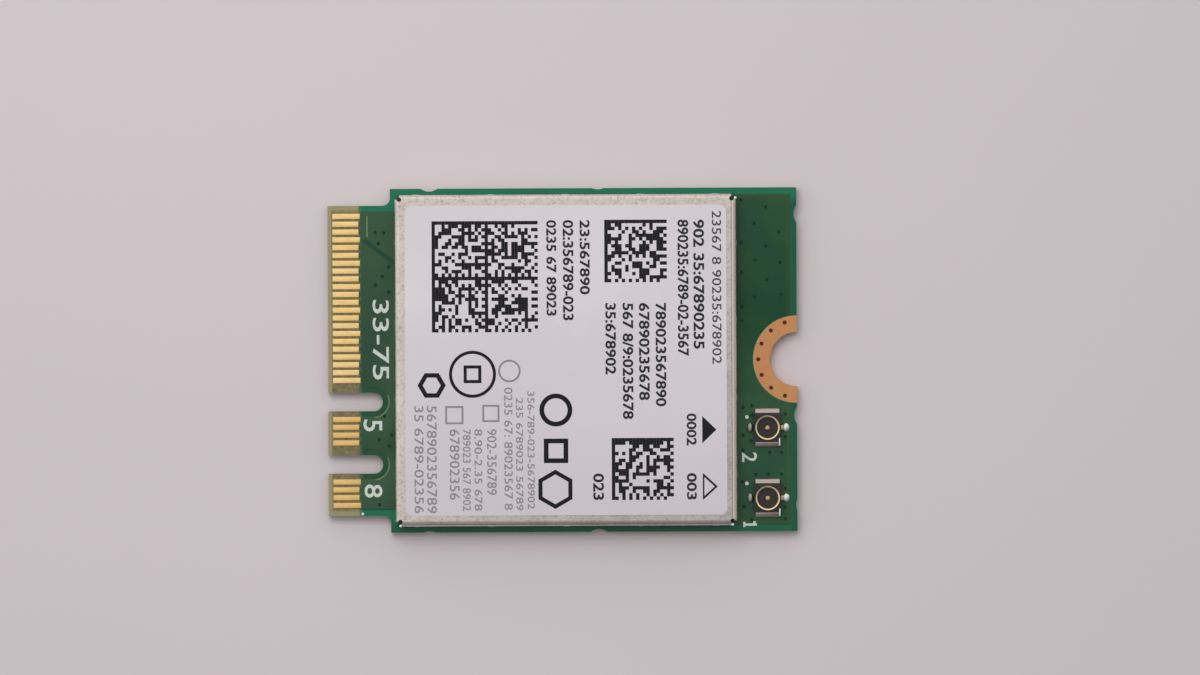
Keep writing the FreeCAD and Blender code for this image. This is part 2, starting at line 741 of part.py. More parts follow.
def build_bypass_capacitors():
    label = "bypass_capacitors"
    body = new_body(label, z="dims.board_thickness")
    half_row = (BYPASS_CAPACITORS_PER_ROW - 1) / 2
    first_x = f"(derived.radio_x - {half_row} * dims.bypass_pitch)"
    first = []
    for row, y in (("upper", "derived.bypass_y"), ("lower", "-derived.bypass_y")):
        first += two_ended_part(body, f"{label}_{row}", first_x, y, "dims.bypass_length",
                                "dims.bypass_width", "dims.bypass_height", along_x=False)
    repeat_along(body, f"{label}_rows", first, "X_Axis", "dims.bypass_pitch", BYPASS_CAPACITORS_PER_ROW)


def build_resistors():
    label = "resistors"
    body = new_body(label, z="dims.board_thickness")
    first_y = "-dims.resistor_pitch / 2"
    first = two_ended_part(body, label, "derived.resistor_x", first_y, "dims.bypass_length",
                           "dims.bypass_width", "dims.resistor_height", along_x=True)
    repeat_along(body, f"{label}_row", first, "Y_Axis", "dims.resistor_pitch", RESISTORS)


def build_parts_under_can():
    build_chip("radio_chip", "derived.radio_x", "0", "dims.radio_side", "dims.radio_side",
               "dims.radio_height")
    build_chip("memory_chip", "derived.radio_x", "derived.outer_row_y + dims.memory_width / 2",
               "dims.memory_length", "dims.memory_width", "dims.memory_height")
    build_chip("power_chip", "derived.power_x", "derived.power_y", "dims.power_side",
               "dims.power_side", "dims.power_height")
    build_crystal()
    for number in ANTENNAS:
        antenna_y = f"derived.antenna_{number}_y"
        for band, y in (("low", antenna_y), ("high", f"{antenna_y} + dims.antenna_spacing / 2")):
            build_chip(f"front_end_{band}_{number}", "derived.front_end_x", y,
                       "dims.front_end_length", "dims.front_end_width", "dims.front_end_height")
        build_single(f"diplexer_{number}", "derived.diplexer_x",
                     f"{antenna_y} + dims.antenna_spacing / 4", "diplexer", along_x=False)
    for number, side in ((1, "-"), (2, "+")):
        build_single(f"power_inductor_{number}", "derived.inductor_x",
                     f"derived.power_y {side} derived.inductor_step", "inductor", along_x=False)
    build_supply_capacitors()
    build_bypass_capacitors()
    build_resistors()


# Checks and export

def check_document():
    for thing in doc.Objects:
        if "Invalid" in thing.State or "Error" in thing.State:
            raise RuntimeError(f"{thing.Label} did not build: {thing.State}")
        if thing.TypeId == "Sketcher::SketchObject" and not thing.FullyConstrained:
            raise RuntimeError(f"{thing.Label} is not fully constrained")
        if thing.TypeId == "PartDesign::Pocket" and thing.Shape.Volume >= thing.BaseFeature.Shape.Volume:
            raise RuntimeError(f"{thing.Label} cuts nothing")
    for subpart in subparts:
        if subpart.Shape.isNull() or not subpart.Shape.isValid() or not subpart.Shape.Solids:
            raise RuntimeError(f"{subpart.Label} has no sound solid")


def export_parts():
    os.makedirs("parts", exist_ok=True)
    for subpart in subparts:
        subpart.Shape.exportStep(f"parts/{subpart.Label}.step")
        print(f"{subpart.Label}: {len(subpart.Shape.Solids)} solid(s), {subpart.Shape.Volume:.4f} mm3")


write_sheet()
derived = write_derived()
build_circuit_board()
for group, (first, last) in TOP_CONTACTS.items():
    build_contacts(f"contacts_top_{group}", first, last, "derived.top_land")
for group, (first, last) in BOTTOM_CONTACTS.items():
    build_contacts(f"contacts_bottom_{group}", first, last, "0")
build_ground_ring("ground_ring_top", "derived.top_land")
build_ground_ring("ground_ring_bottom", "0")
build_shield_can()
build_shield_solder()
build_label()
for number in ANTENNAS:
    build_antenna(number)
build_parts_under_can()
doc.recompute()
check_document()
export_parts()
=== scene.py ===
# A plug-in wireless network card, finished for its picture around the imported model.
# Lengths are in metres, in the card's own frame: X towards the screw notch, Y across, Z up.

import json
import math
import random
from functools import partial

import bmesh
import bpy
from mathutils import Matrix, Vector


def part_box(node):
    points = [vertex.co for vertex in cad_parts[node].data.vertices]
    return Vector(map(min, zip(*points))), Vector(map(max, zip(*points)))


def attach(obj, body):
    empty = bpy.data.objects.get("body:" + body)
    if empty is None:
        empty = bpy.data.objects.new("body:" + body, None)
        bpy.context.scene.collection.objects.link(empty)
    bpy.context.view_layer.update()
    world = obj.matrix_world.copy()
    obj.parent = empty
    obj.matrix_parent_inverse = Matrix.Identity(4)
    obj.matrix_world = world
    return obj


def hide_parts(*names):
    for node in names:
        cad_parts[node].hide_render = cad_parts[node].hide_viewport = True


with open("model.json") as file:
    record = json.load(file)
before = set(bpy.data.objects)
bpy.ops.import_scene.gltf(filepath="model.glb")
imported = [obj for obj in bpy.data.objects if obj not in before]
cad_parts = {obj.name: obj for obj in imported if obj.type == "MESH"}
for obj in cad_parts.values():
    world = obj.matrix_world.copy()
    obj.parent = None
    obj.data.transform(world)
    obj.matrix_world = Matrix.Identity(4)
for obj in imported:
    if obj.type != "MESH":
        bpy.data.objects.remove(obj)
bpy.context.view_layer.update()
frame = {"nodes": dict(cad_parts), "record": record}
nodes = frame["nodes"]

MM = 0.001

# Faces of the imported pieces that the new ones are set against
board_low, board_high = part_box("circuit_board")
can_low, can_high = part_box("shield_can")
label_low, label_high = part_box("label")
ring_low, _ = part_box("ground_ring_top")
contacts_low, contacts_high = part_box("contacts_top_main")
BOARD_TOP = board_high.z
BOARD_BOTTOM = board_low.z
CARD_END = board_high.x
LAND_END = contacts_high.x

# The board's outline and its contacts
TONGUE_HALF = 9.925 * MM
SHOULDER = board_low.x + 4.0 * MM
KEY_CENTRES = (-2.625 * MM, -6.625 * MM)
KEY_END = board_low.x + 2.9 * MM
KEY_RADIUS = 0.6 * MM
NOTCH_RADIUS = 1.75 * MM
CONTACT_PITCH = 0.5 * MM
CONTACT_WIDTH = 0.375 * MM  # with the plating on its sides
MIDDLE_CONTACT = 38

# The board's two faces: heights are measured outwards from each
FACES = {
    "top": Matrix.Translation((0, 0, BOARD_TOP)),
    "bottom": Matrix.Translation((0, 0, BOARD_BOTTOM)) @ Matrix.Diagonal((1, 1, -1, 1)),
}

# Heights of what is plated, printed or coated on a face, and how far its foot is sunk
COPPER_RELIEF = 0.03 * MM
CONTACT_RELIEF = 0.025 * MM
INK_RELIEF = 0.006 * MM
SILKSCREEN_RELIEF = 0.012 * MM
SINK = 0.01 * MM

# Copper areas under the green coating stay clear of the edges, notches and ring
POUR_INSET = 0.42 * MM
POUR_START = LAND_END + 0.14 * MM
POUR_BEVEL = 0.028 * MM
KEY_CLEARANCE = 0.33 * MM
RING_CLEARANCE = 0.07 * MM


# Shader helpers

def linear(hex_colour):
    """An sRGB hex colour as linear red, green, blue and alpha."""
    parts = [int(hex_colour[i:i + 2], 16) / 255 for i in (1, 3, 5)]
    return [part / 12.92 if part <= 0.04045 else ((part + 0.055) / 1.055) ** 2.4 for part in parts] + [1.0]


def per(size_mm):
    """The texture scale that gives a pattern of this real size in millimetres."""
    return 1 / (size_mm * MM)


def add_node(tree, kind, inputs=None, **settings):
    """Adds a shader node with its settings. An input is a value, a hex colour, a socket, or a node, which is
    linked from its first output in use. Inputs whose names repeat go by number: a mix of colours has its
    share at 0 and the colours at 6 and 7, a map range its value at 0, its old range at 1 and 2, its new one
    at 3 and 4."""
    node = tree.nodes.new("ShaderNode" + kind)
    for name, value in settings.items():
        setattr(node, name, value)
    for socket, value in (inputs or {}).items():
        if isinstance(value, bpy.types.Node):
            value = next(output for output in value.outputs if output.enabled)
        if isinstance(value, bpy.types.NodeSocket):
            tree.links.new(value, node.inputs[socket])
        else:
            node.inputs[socket].default_value = linear(value) if isinstance(value, str) else value
    return node


def new_tree(name):
    """An empty material, the call that adds nodes to it, and the place on the card, which patterns follow."""
    made = bpy.data.materials.new(name)
    made.use_nodes = True
    made.node_tree.nodes.clear()
    add = partial(add_node, made.node_tree)
    return made, add, add("TexCoord").outputs["Object"]


def close_tree(made, add, inputs):
    """Ends a material in one surface shader with these inputs."""
    add("OutputMaterial", {"Surface": add("BsdfPrincipled", inputs)})
    return made


# Finishes. A pixel of the picture is about 0.07 mm, so a pattern that is finer on the real card is drawn
# at 0.1 to 0.3 mm, and a comment beside it says that it is coarser.

def coated_board():
    """Glass-fibre laminate with a glossy green coating, left bare on the contact tongue and the edges.
    Light goes through the coating to the pale laminate, so it is a bright bluish green, duller where inner
    copper lies under it, behind the contacts, and darkened by painted shade along two edges.
    Next to the contacts it thins out in a pale step."""
    made, add, place = new_tree("green_coated_laminate")
    axes = add("SeparateXYZ", {0: place}).outputs
    along, across = axes["X"], axes["Y"]
    off_middle = add("Math", {0: across}, operation="ABSOLUTE")
    facing = add("NewGeometry").outputs["Normal"]
    upright = add("SeparateXYZ", {0: facing}).outputs["Z"]
    flat = add("Math", {0: upright}, operation="ABSOLUTE")
    flat = add("MapRange", {0: flat, 1: 0.4, 2: 0.6})
    inner_side = TONGUE_HALF - POUR_INSET
    # Each zone: the way it is measured, the two places it fades between, and its share before and after them
    zones = {
        "inward": (off_middle, inner_side, inner_side + 0.1 * MM, 1, 0),
        "behind": (along, SHOULDER + 0.2 * MM, SHOULDER + 0.4 * MM, 1, 0),
        "pale_step": (along, POUR_START - 0.02 * MM, POUR_START + 0.05 * MM, 0.45, 0),
        "far_end": (along, CARD_END - 0.6 * MM, CARD_END - 0.3 * MM, 0, 0.5),
        "off_corner": (across, board_high.y - 1.0 * MM, board_high.y - 0.4 * MM, 1, 0),
        "near_side": (across, board_low.y + 0.3 * MM, board_low.y + 0.6 * MM, 0.33, 0),
        "tip": (along, contacts_low.x - 0.12 * MM, contacts_low.x, 1, 0),
        "rim": (off_middle, TONGUE_HALF - 0.45 * MM, TONGUE_HALF - 0.2 * MM, 0, 1),
        "uncoated": (along, LAND_END - 0.02 * MM, LAND_END, 1, 0),
    }
    zone = {name: add("MapRange", dict(enumerate(fade))) for name, fade in zones.items()}
    inner_copper = add("Math", {0: zone["inward"], 1: zone["behind"]}, operation="MULTIPLY")
    # Painted shade: the coating darkens along the card's far end, except near one corner, and along its near
    # side
    far = add("Math", {0: zone["far_end"], 1: zone["off_corner"]}, operation="MULTIPLY")
    painted_edge_shade = add("Math", {0: far, 1: zone["near_side"]}, operation="MAXIMUM")
    thin_resin = add("Math", {0: zone["tip"], 1: zone["rim"]}, operation="MAXIMUM")
    cloud = add("TexNoise", {"Vector": place, "Scale": per(2.5), "Detail": 4.0})
    coating = add("Mix", {0: cloud, 6: "#075F43", 7: "#0F6F50"}, data_type="RGBA")
    for share, tint in ((inner_copper, "#14462D"), (zone["pale_step"], "#4F7060"), (painted_edge_shade, "#04241A")):
        coating = add("Mix", {0: share, 6: coating, 7: tint}, data_type="RGBA")
    grain = add("TexNoise", {"Vector": place, "Scale": per(0.25), "Detail": 3.0})
    mottle = add("MapRange", {0: grain, 1: 0.3, 2: 0.7})
    bare = add("Mix", {0: mottle, 6: "#635B40", 7: "#837A55"}, data_type="RGBA")
    laminate = add("Mix", {0: thin_resin, 6: bare, 7: "#938B65"}, data_type="RGBA")
    # A wave repeats every 0.31 of the size given: the glass plies 0.28 mm, coarser, and the weave 0.44 mm
    plies = add("TexWave", {"Vector": place, "Scale": per(0.9), "Distortion": 1.5, "Detail": 2.0,
                            "Detail Scale": 2.0}, bands_direction="Z").outputs["Fac"]
    weave = add("TexWave", {"Vector": place, "Scale": per(1.4), "Distortion": 0.6},
                bands_direction="Y").outputs["Fac"]
    edge = add("Mix", {0: plies, 6: "#5F6A3C", 7: "#8A8F58"}, data_type="RGBA")
    top = add("Mix", {0: zone["uncoated"], 6: coating, 7: laminate}, data_type="RGBA")
    colour = add("Mix", {0: flat, 6: edge, 7: top}, data_type="RGBA")
    bump = add("Bump", {"Height": weave, "Strength": 0.06, "Distance": 0.01 * MM})
    rough = add("MapRange", {0: zone["uncoated"], 3: 0.32, 4: 0.6})
    return close_tree(made, add, {"Base Color": colour, "Roughness": rough, "Specular IOR Level": 0.3,
                                  "Normal": bump})


# Where the coating fades in from the edge of the copper, and the stretch along the card where painted light
# pales it
THIN_EDGE = (0.1 * MM, 0.34 * MM)
PAINTED_LIGHT_SPAN = (SHOULDER - 0.5 * MM, SHOULDER + 1.5 * MM)


def coated_copper():
    """The same coating over copper, which shows through it as a dark olive green. Along the edge of the
    copper the coating is thin and a little brown, and behind the contacts painted light makes it paler."""
    made, add, place = new_tree("green_coated_copper")
    axes = add("SeparateXYZ", {0: place}).outputs
    off_middle = add("Math", {0: axes["Y"]}, operation="ABSOLUTE")
    to_side = add("Math", {0: board_high.y - POUR_INSET, 1: off_middle}, operation="SUBTRACT")
    to_end = add("Math", {0: CARD_END - POUR_INSET, 1: axes["X"]}, operation="SUBTRACT")
    to_edge = add("Math", {0: to_side, 1: to_end}, operation="MINIMUM")
    thinned = add("MapRange", {0: to_edge, 1: THIN_EDGE[0], 2: THIN_EDGE[1], 3: 0.6, 4: 0.0})
    # Painted light: paler and greyer behind the contacts
    painted_light_share = add("MapRange", {0: axes["X"], 1: PAINTED_LIGHT_SPAN[0], 2: PAINTED_LIGHT_SPAN[1], 3: 0.2, 4: 0.0})
    cloud = add("TexNoise", {"Vector": place, "Scale": per(3.0), "Detail": 3.0})
    fine = add("TexNoise", {"Vector": place, "Scale": per(0.3), "Detail": 2.0})
    patch = add("MapRange", {0: cloud, 1: 0.35, 2: 0.65})
    speck = add("MapRange", {0: fine, 1: 0.45, 2: 0.75, 4: 0.3})
    colour = add("Mix", {0: patch, 6: "#134329", 7: "#214B24"}, data_type="RGBA")
    for share, tint in ((speck, "#164B35"), (painted_light_share, "#505C52"), (thinned, "#354A24")):
        colour = add("Mix", {0: share, 6: colour, 7: tint}, data_type="RGBA")
    bump = add("Bump", {"Height": cloud, "Strength": 0.08, "Distance": 0.02 * MM})
    return close_tree(made, add, {"Base Color": colour, "Roughness": 0.33, "Specular IOR Level": 0.3,
                                  "Normal": bump})


def plain_coating(name, dark, light):
    """The same coating as a flat colour: pale as a painted highlight on a step, or sunk into a hole or a gap
    and dark with depth.
    """
    made, add, place = new_tree(name)
    fine = add("TexNoise", {"Vector": place, "Scale": per(0.2), "Detail": 2.0})
    colour = add("Mix", {0: fine, 6: dark, 7: light}, data_type="RGBA")
    return close_tree(made, add, {"Base Color": colour, "Roughness": 0.5, "Specular IOR Level": 0.12})


RUBBED = (KEY_CENTRES[0] - KEY_RADIUS, KEY_CENTRES[0] + KEY_RADIUS)


def plated_gold(name, first, second, worn):
    """Gold plated over nickel: warm and bright, each contact a slightly different tint, with long streaks,
    and more rubbed below the first key."""
    made, add, place = new_tree(name)
    across = add("SeparateXYZ", {0: place}).outputs["Y"]
    row = add("Math", {0: across, 1: 1 / CONTACT_PITCH, 2: 0.5}, operation="MULTIPLY_ADD")
    number = add("Math", {0: row}, operation="FLOOR")
    tint = add("TexWhiteNoise", {"W": number}, noise_dimensions="1D")
    long_grain = add("Mapping", {"Vector": place, "Scale": (0.35, 1.0, 1.0)})
    # Coarser: the real streaks are hairlines
    streak = add("TexNoise", {"Vector": long_grain, "Scale": per(0.22), "Detail": 3.0})
    wear = add("MapRange", {0: streak, 1: 0.45, 2: 0.8, 4: 0.2})
    rubbed = add("MapRange", {0: across, 1: RUBBED[0], 2: RUBBED[1], 3: 0.8, 4: 0.0})
    colour = add("Mix", {0: tint, 6: first, 7: second}, data_type="RGBA")
    for share in (wear, rubbed):
        colour = add("Mix", {0: share, 6: colour, 7: worn}, data_type="RGBA")
    bump = add("Bump", {"Height": streak, "Strength": 0.15, "Distance": 0.01 * MM})
    rough = add("MapRange", {0: streak, 1: 0.3, 2: 0.7, 3: 0.24, 4: 0.42})
    return close_tree(made, add, {"Base Color": colour, "Metallic": 1.0, "Roughness": rough, "Normal": bump})


def bare_copper():
    """Copper foil with a thin clear coat against tarnish: orange, matt, with cloudy stains."""
    made, add, place = new_tree("bare_copper_foil")
    cloud = add("TexNoise", {"Vector": place, "Scale": per(0.9), "Detail": 5.0})
    # Coarser: the grain of the foil
    grain = add("TexNoise", {"Vector": place, "Scale": per(0.12), "Detail": 2.0})
    stain = add("MapRange", {0: cloud, 1: 0.35, 2: 0.65})
    speck = add("MapRange", {0: grain, 1: 0.5, 2: 0.8, 4: 0.4})
    tone = add("Mix", {0: stain, 6: "#D69362", 7: "#CF9D6B"}, data_type="RGBA")
    colour = add("Mix", {0: speck, 6: tone, 7: "#BC7B5C"}, data_type="RGBA")
    bump = add("Bump", {"Height": grain, "Strength": 0.2, "Distance": 0.01 * MM})
    return close_tree(made, add, {"Base Color": colour, "Metallic": 0.9, "Roughness": 0.45, "Normal": bump})


# Bends, in from the can's far end and near side, and the way to the corner darkened by painted shade,
# measured as X less Y
CREASE_DISTANCE = 0.31 * MM
CREASE_WIDTH = 0.05 * MM
SHADED_BEND = 0.29 * MM
SHADED_BEND_WIDTH = 0.09 * MM
SHADED_CORNER = (-4 * MM, 14 * MM)


def tinned_steel():
    """Steel sheet dipped in tin: a warm grey with fine dark specks and a dull, wavy shine. Painted shade
    darkens it towards one corner and on the bend at the near side. Along the bend next to the connectors a
    dark line is a painted reflection, and beyond it a bright strip is a painted highlight."""
    made, add, place = new_tree("tinned_steel")
    axes = add("SeparateXYZ", {0: place}).outputs
    # Coarser: the specks in the tin
    grain = add("TexNoise", {"Vector": place, "Scale": per(0.16), "Detail": 4.0, "Roughness": 0.65})
    cloud = add("TexNoise", {"Vector": place, "Scale": per(1.6), "Detail": 3.0})
    wave = add("MapRange", {0: cloud, 1: 0.35, 2: 0.65})
    bright = add("Mix", {0: wave, 6: "#DFD3CA", 7: "#E9DED4"}, data_type="RGBA")
    painted_shade_tin = add("Mix", {0: wave, 6: "#BEB7B4", 7: "#CEC7C4"}, data_type="RGBA")
    # Painted shade: the tin darkens towards one corner
    corner = add("Math", {0: axes["X"], 1: axes["Y"]}, operation="SUBTRACT")
    painted_shade_share = add("MapRange", {0: corner, 1: SHADED_CORNER[0], 2: SHADED_CORNER[1]})
    speck = add("MapRange", {0: grain, 1: 0.5, 2: 0.75, 4: 0.7})
    # Along the bend at the far end: a painted dark reflection on the crease and a painted highlight beyond it
    from_crease = add("Math", {0: axes["X"], 1: can_high.x - CREASE_DISTANCE}, operation="SUBTRACT")
    painted_bend_highlight = add("MapRange", {0: from_crease, 1: 0.0, 2: CREASE_WIDTH, 4: 0.85})
    off_crease = add("Math", {0: from_crease}, operation="ABSOLUTE")
    painted_dark_reflection = add("MapRange", {0: off_crease, 1: 0.0, 2: CREASE_WIDTH, 3: 0.6, 4: 0.0})
    # Painted shade on the bend at the near side
    from_bend = add("Math", {0: axes["Y"], 1: can_low.y + SHADED_BEND}, operation="SUBTRACT")
    off_bend = add("Math", {0: from_bend}, operation="ABSOLUTE")
    painted_bend_shade = add("MapRange", {0: off_bend, 1: 0.0, 2: SHADED_BEND_WIDTH, 3: 0.75, 4: 0.0})
    colour = add("Mix", {0: painted_shade_share, 6: bright, 7: painted_shade_tin}, data_type="RGBA")
    for share, tint in ((speck, "#91887F"), (painted_bend_highlight, "#F0E4D7"), (painted_dark_reflection, "#6A5F55"),
                        (painted_bend_shade, "#8F8782")):
        colour = add("Mix", {0: share, 6: colour, 7: tint}, data_type="RGBA")
    bump = add("Bump", {"Height": grain, "Strength": 0.25, "Distance": 0.015 * MM})
    rough = add("MapRange", {0: grain, 1: 0.3, 2: 0.7, 3: 0.36, 4: 0.5})
    return close_tree(made, add, {"Base Color": colour, "Metallic": 1.0, "Roughness": rough, "Normal": bump})


def solder_metal(name, dark, light, smoothest, roughest):
    """Solder that set as it flowed: silver, smooth where it is thick, with a faint frosted grain."""
    made, add, place = new_tree(name)
    # Coarser: the frost
    frost = add("TexNoise", {"Vector": place, "Scale": per(0.1), "Detail": 3.0})
    colour = add("Mix", {0: frost, 6: dark, 7: light}, data_type="RGBA")
    rough = add("MapRange", {0: frost, 1: 0.3, 2: 0.7, 3: smoothest, 4: roughest})
    bump = add("Bump", {"Height": frost, "Strength": 0.12, "Distance": 0.01 * MM})
    return close_tree(made, add, {"Base Color": colour, "Metallic": 1.0, "Roughness": rough, "Normal": bump})


LABEL_SHADE_SPAN = (label_low.y, 3 * MM)


def label_paper():
    """Coated white label paper, faintly lavender, with a soft fibre cloud, greyer towards its near side with
    painted shade.
    """
    made, add, place = new_tree("coated_label_paper")
    cloud = add("TexNoise", {"Vector": place, "Scale": per(6.0), "Detail": 3.0})
    # Coarser: the fibres
    fibre = add("TexNoise", {"Vector": place, "Scale": per(0.12), "Detail": 3.0})
    drift = add("MapRange", {0: cloud, 1: 0.35, 2: 0.65})
    hair = add("MapRange", {0: fibre, 1: 0.5, 2: 0.8, 4: 0.12})
    across = add("SeparateXYZ", {0: place}).outputs["Y"]
    # Painted shade: greyer towards the label's near side
    painted_near_side_shade = add("MapRange", {0: across, 1: LABEL_SHADE_SPAN[0], 2: LABEL_SHADE_SPAN[1], 3: 0.65, 4: 0.0})
    colour = add("Mix", {0: drift, 6: "#CEC8CD", 7: "#D4CDD2"}, data_type="RGBA")
    for share, tint in ((painted_near_side_shade, "#C3BCC1"), (hair, "#B9B2B6")):
        colour = add("Mix", {0: share, 6: colour, 7: tint}, data_type="RGBA")
    bump = add("Bump", {"Height": fibre, "Strength": 0.08, "Distance": 0.01 * MM})
    return close_tree(made, add, {"Base Color": colour, "Roughness": 0.55, "IOR": 1.45, "Normal": bump})


def ink(name, dark, light):
    """A printed ink, or the dark fill of a hole as matt, that lies a little unevenly on what it is printed
    on.
    """
    made, add, place = new_tree(name)
    # Coarser: the lie of the film
    fine = add("TexNoise", {"Vector": place, "Scale": per(0.15), "Detail": 3.0})
    lie = add("MapRange", {0: fine, 1: 0.3, 2: 0.7})
    colour = add("Mix", {0: lie, 6: dark, 7: light}, data_type="RGBA")
    return close_tree(made, add, {"Base Color": colour, "Roughness": 0.6, "IOR": 1.48,
                                  "Specular IOR Level": 0.25})


def fine_grained(name, dark, light, grain_mm, rough, index):
    """A moulded resin or a fired ceramic: matt, with a fine even grain, which is drawn coarser."""
    made, add, place = new_tree(name)
    grain = add("TexNoise", {"Vector": place, "Scale": per(grain_mm), "Detail": 3.0})
    share = add("MapRange", {0: grain, 1: 0.3, 2: 0.7})
    colour = add("Mix", {0: share, 6: dark, 7: light}, data_type="RGBA")
    bump = add("Bump", {"Height": grain, "Strength": 0.15, "Distance": 0.01 * MM})
    return close_tree(made, add, {"Base Color": colour, "Roughness": rough, "IOR": index, "Normal": bump})


BOARD = coated_board()
POUR = coated_copper()
VIA = plain_coating("green_coated_hole", "#0F2E20", "#153927")
TRACK_GAP = plain_coating("deep_green_coating", "#20422F", "#264A36")
# Painted highlight: a pale coating where a step of the copper catches the lamp
RIM_HIGHLIGHT = plain_coating("painted_highlight_coating", "#5E7050", "#6E8060")
GOLD = plated_gold("plated_gold", "#FFDD9E", "#FFD98E", "#EBC17C")
THIN_GOLD = plated_gold("thin_gold", "#F8E8BE", "#F4E3B2", "#F0DDAA")
PIN_GOLD = plated_gold("worn_gold", "#D6B480", "#D1AE7A", "#D0AE7A")
COPPER = bare_copper()
TIN = tinned_steel()
SOLDER = solder_metal("set_solder", "#DFE5E1", "#F2F8F4", 0.22, 0.4)
# Darker copies of the solder as painted shade: on the strap joints, and deeper in the hollow of the tail
# joint
SHADED_SOLDER = solder_metal("painted_shade_solder", "#B6A69E", "#C6B6AE", 0.3, 0.45)
DEEP_SHADED_SOLDER = solder_metal("painted_deep_shade_solder", "#979D97", "#B0B6B0", 0.25, 0.4)
PAPER = label_paper()
BLACK_INK = ink("black_label_ink", "#111014", "#19181D")
TEXT_INK = ink("dark_label_ink", "#232129", "#2E2C35")
FADED_INK = ink("faded_label_ink", "#3E3B43", "#4A474F")
GREY_INK = ink("grey_label_ink", "#827C83", "#8F8990")
WHITE_INK = ink("white_board_ink", "#B9C3BB", "#CCD3CC")
# A near-black moulding, darkened further as painted shade for the hollow inside each connector's ring
SHADED_BASE = fine_grained("moulded_connector_base_and_shade", "#0F0C0F", "#1B161A", 0.15, 0.5, 1.58)
# A dark brown fill partway down the ring's holes
HOLE_FILL = ink("dark_brown_hole_fill", "#4A2416", "#5E3220")
EPOXY = fine_grained("moulded_chip_package", "#17171A", "#232327", 0.2, 0.5, 1.58)
CERAMIC = fine_grained("fired_ceramic", "#8C7556", "#A38B69", 0.1, 0.45, 1.6)
FERRITE = fine_grained("pressed_ferrite", "#3A3838", "#4A4747", 0.1, 0.45, 1.6)

FINISH_OF_SLOT = {
    "solder_mask": BOARD, "gold_plate": GOLD, "bare_copper": COPPER, "tinned_steel": TIN, "solder": SOLDER,
    "paper_label": PAPER, "moulded_base": SHADED_BASE, "epoxy_package": EPOXY, "ceramic_package": CERAMIC,
    "ferrite": FERRITE,
}


def dress_packed_nodes():
    for subpart in frame["record"]["subparts"]:
        materials = nodes[subpart["node"]].data.materials
        materials.clear()
        materials.append(FINISH_OF_SLOT[subpart["material_slot"]])


# Mesh helpers

MERGE = 1e-8
SHARP = math.radians(25)
ROUND_STEPS = 16
DISC_STEPS = 20
BEAD_STEPS = (24, 16)
FIGURE_STEPS = 3


def new_object(name, mesh, finish):
    """Turns a bmesh into an object at the origin."""
    data = bpy.data.meshes.new(name)
    mesh.to_mesh(data)
    mesh.free()
    data.materials.append(finish)
    made = bpy.data.objects.new(name, data)
    bpy.context.scene.collection.objects.link(made)
    return made


def new_piece(name, mesh, finish, slot, *replaced, place=Matrix()):
    """Turns a bmesh into a piece that rides on the card, and stands for the nodes it replaces."""
    bmesh.ops.transform(mesh, matrix=place, verts=mesh.verts)
    bmesh.ops.remove_doubles(mesh, verts=mesh.verts, dist=MERGE)
    bmesh.ops.recalc_face_normals(mesh, faces=mesh.faces)
    piece = new_object(name, mesh, finish)
    piece.data.shade_smooth()
    piece.data.set_sharp_from_angle(angle=SHARP)
    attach(piece, "root")
    if replaced:
        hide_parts(*replaced)


def pull_faces(mesh, faces, reach):
    """Pulls flat faces out into plates or bars."""
    pulled = bmesh.ops.extrude_face_region(mesh, geom=faces)["geom"]
    corners = [part for part in pulled if isinstance(part, bmesh.types.BMVert)]
    bmesh.ops.translate(mesh, verts=corners, vec=reach)


def add_box(mesh, low, high, place=Matrix()):
    """A box from its low to its high corner, as they lie at a place."""
    low, high = Vector(low), Vector(high)
    size = Matrix.Diagonal((*(high - low), 1))
    made = bmesh.ops.create_cube(mesh, size=1, matrix=place @ Matrix.Translation((low + high) / 2) @ size)
    return made["verts"]


def add_turned(mesh, profile, centre, steps, start=0.0, turn=360.0):
    """A closed outline of radius and height, turned about an upright axis through an angle in degrees."""
    onto = Matrix.Translation((*centre, 0)) @ Matrix.Rotation(math.radians(start), 4, "Z")
    corners = [mesh.verts.new(onto @ Vector((radius, 0, height))) for radius, height in profile]
    sides = [mesh.edges.new(pair) for pair in zip(corners, corners[1:] + corners[:1])]
    whole = turn == 360.0
    section = corners + sides if whole else [mesh.faces.new(corners)]
    bmesh.ops.spin(mesh, geom=section, cent=(*centre, 0), axis=(0, 0, 1), dvec=(0, 0, 0),
                   angle=math.radians(turn), steps=steps, use_merge=whole)


def add_tube(mesh, inner, outer, foot, top, centre, steps, **arc):
    """A round wall between two radii and two heights, or an arc of it."""
    add_turned(mesh, [(inner, foot), (outer, foot), (outer, top), (inner, top)], centre, steps, **arc)


def add_bead(mesh, centre, reach):
    """A drop that stands on the board: the upper part of an ellipsoid with these half sizes."""
    place = Matrix.Translation(centre) @ Matrix.Diagonal((*reach, 1))
    around, upwards = BEAD_STEPS
    made = bmesh.ops.create_uvsphere(mesh, u_segments=around, v_segments=upwards, radius=1, matrix=place)
    faces = {face for vert in made["verts"] for face in vert.link_faces}
    edges = {edge for face in faces for edge in face.edges}
    cut = bmesh.ops.bisect_plane(mesh, geom=[*made["verts"], *edges, *faces], plane_co=(0, 0, BOARD_TOP),
                                 plane_no=(0, 0, 1), clear_inner=True)
    rim = [part for part in cut["geom_cut"] if isinstance(part, bmesh.types.BMEdge)]
    bmesh.ops.edgeloop_fill(mesh, edges=rim)


def add_disc(mesh, centre, radius, foot, top, steps=DISC_STEPS):
    base = Matrix.Translation((*centre, foot))
    made = bmesh.ops.create_circle(mesh, cap_ends=True, segments=steps, radius=radius, matrix=base)
    pull_faces(mesh, made["verts"][0].link_faces[:], (0, 0, top - foot))


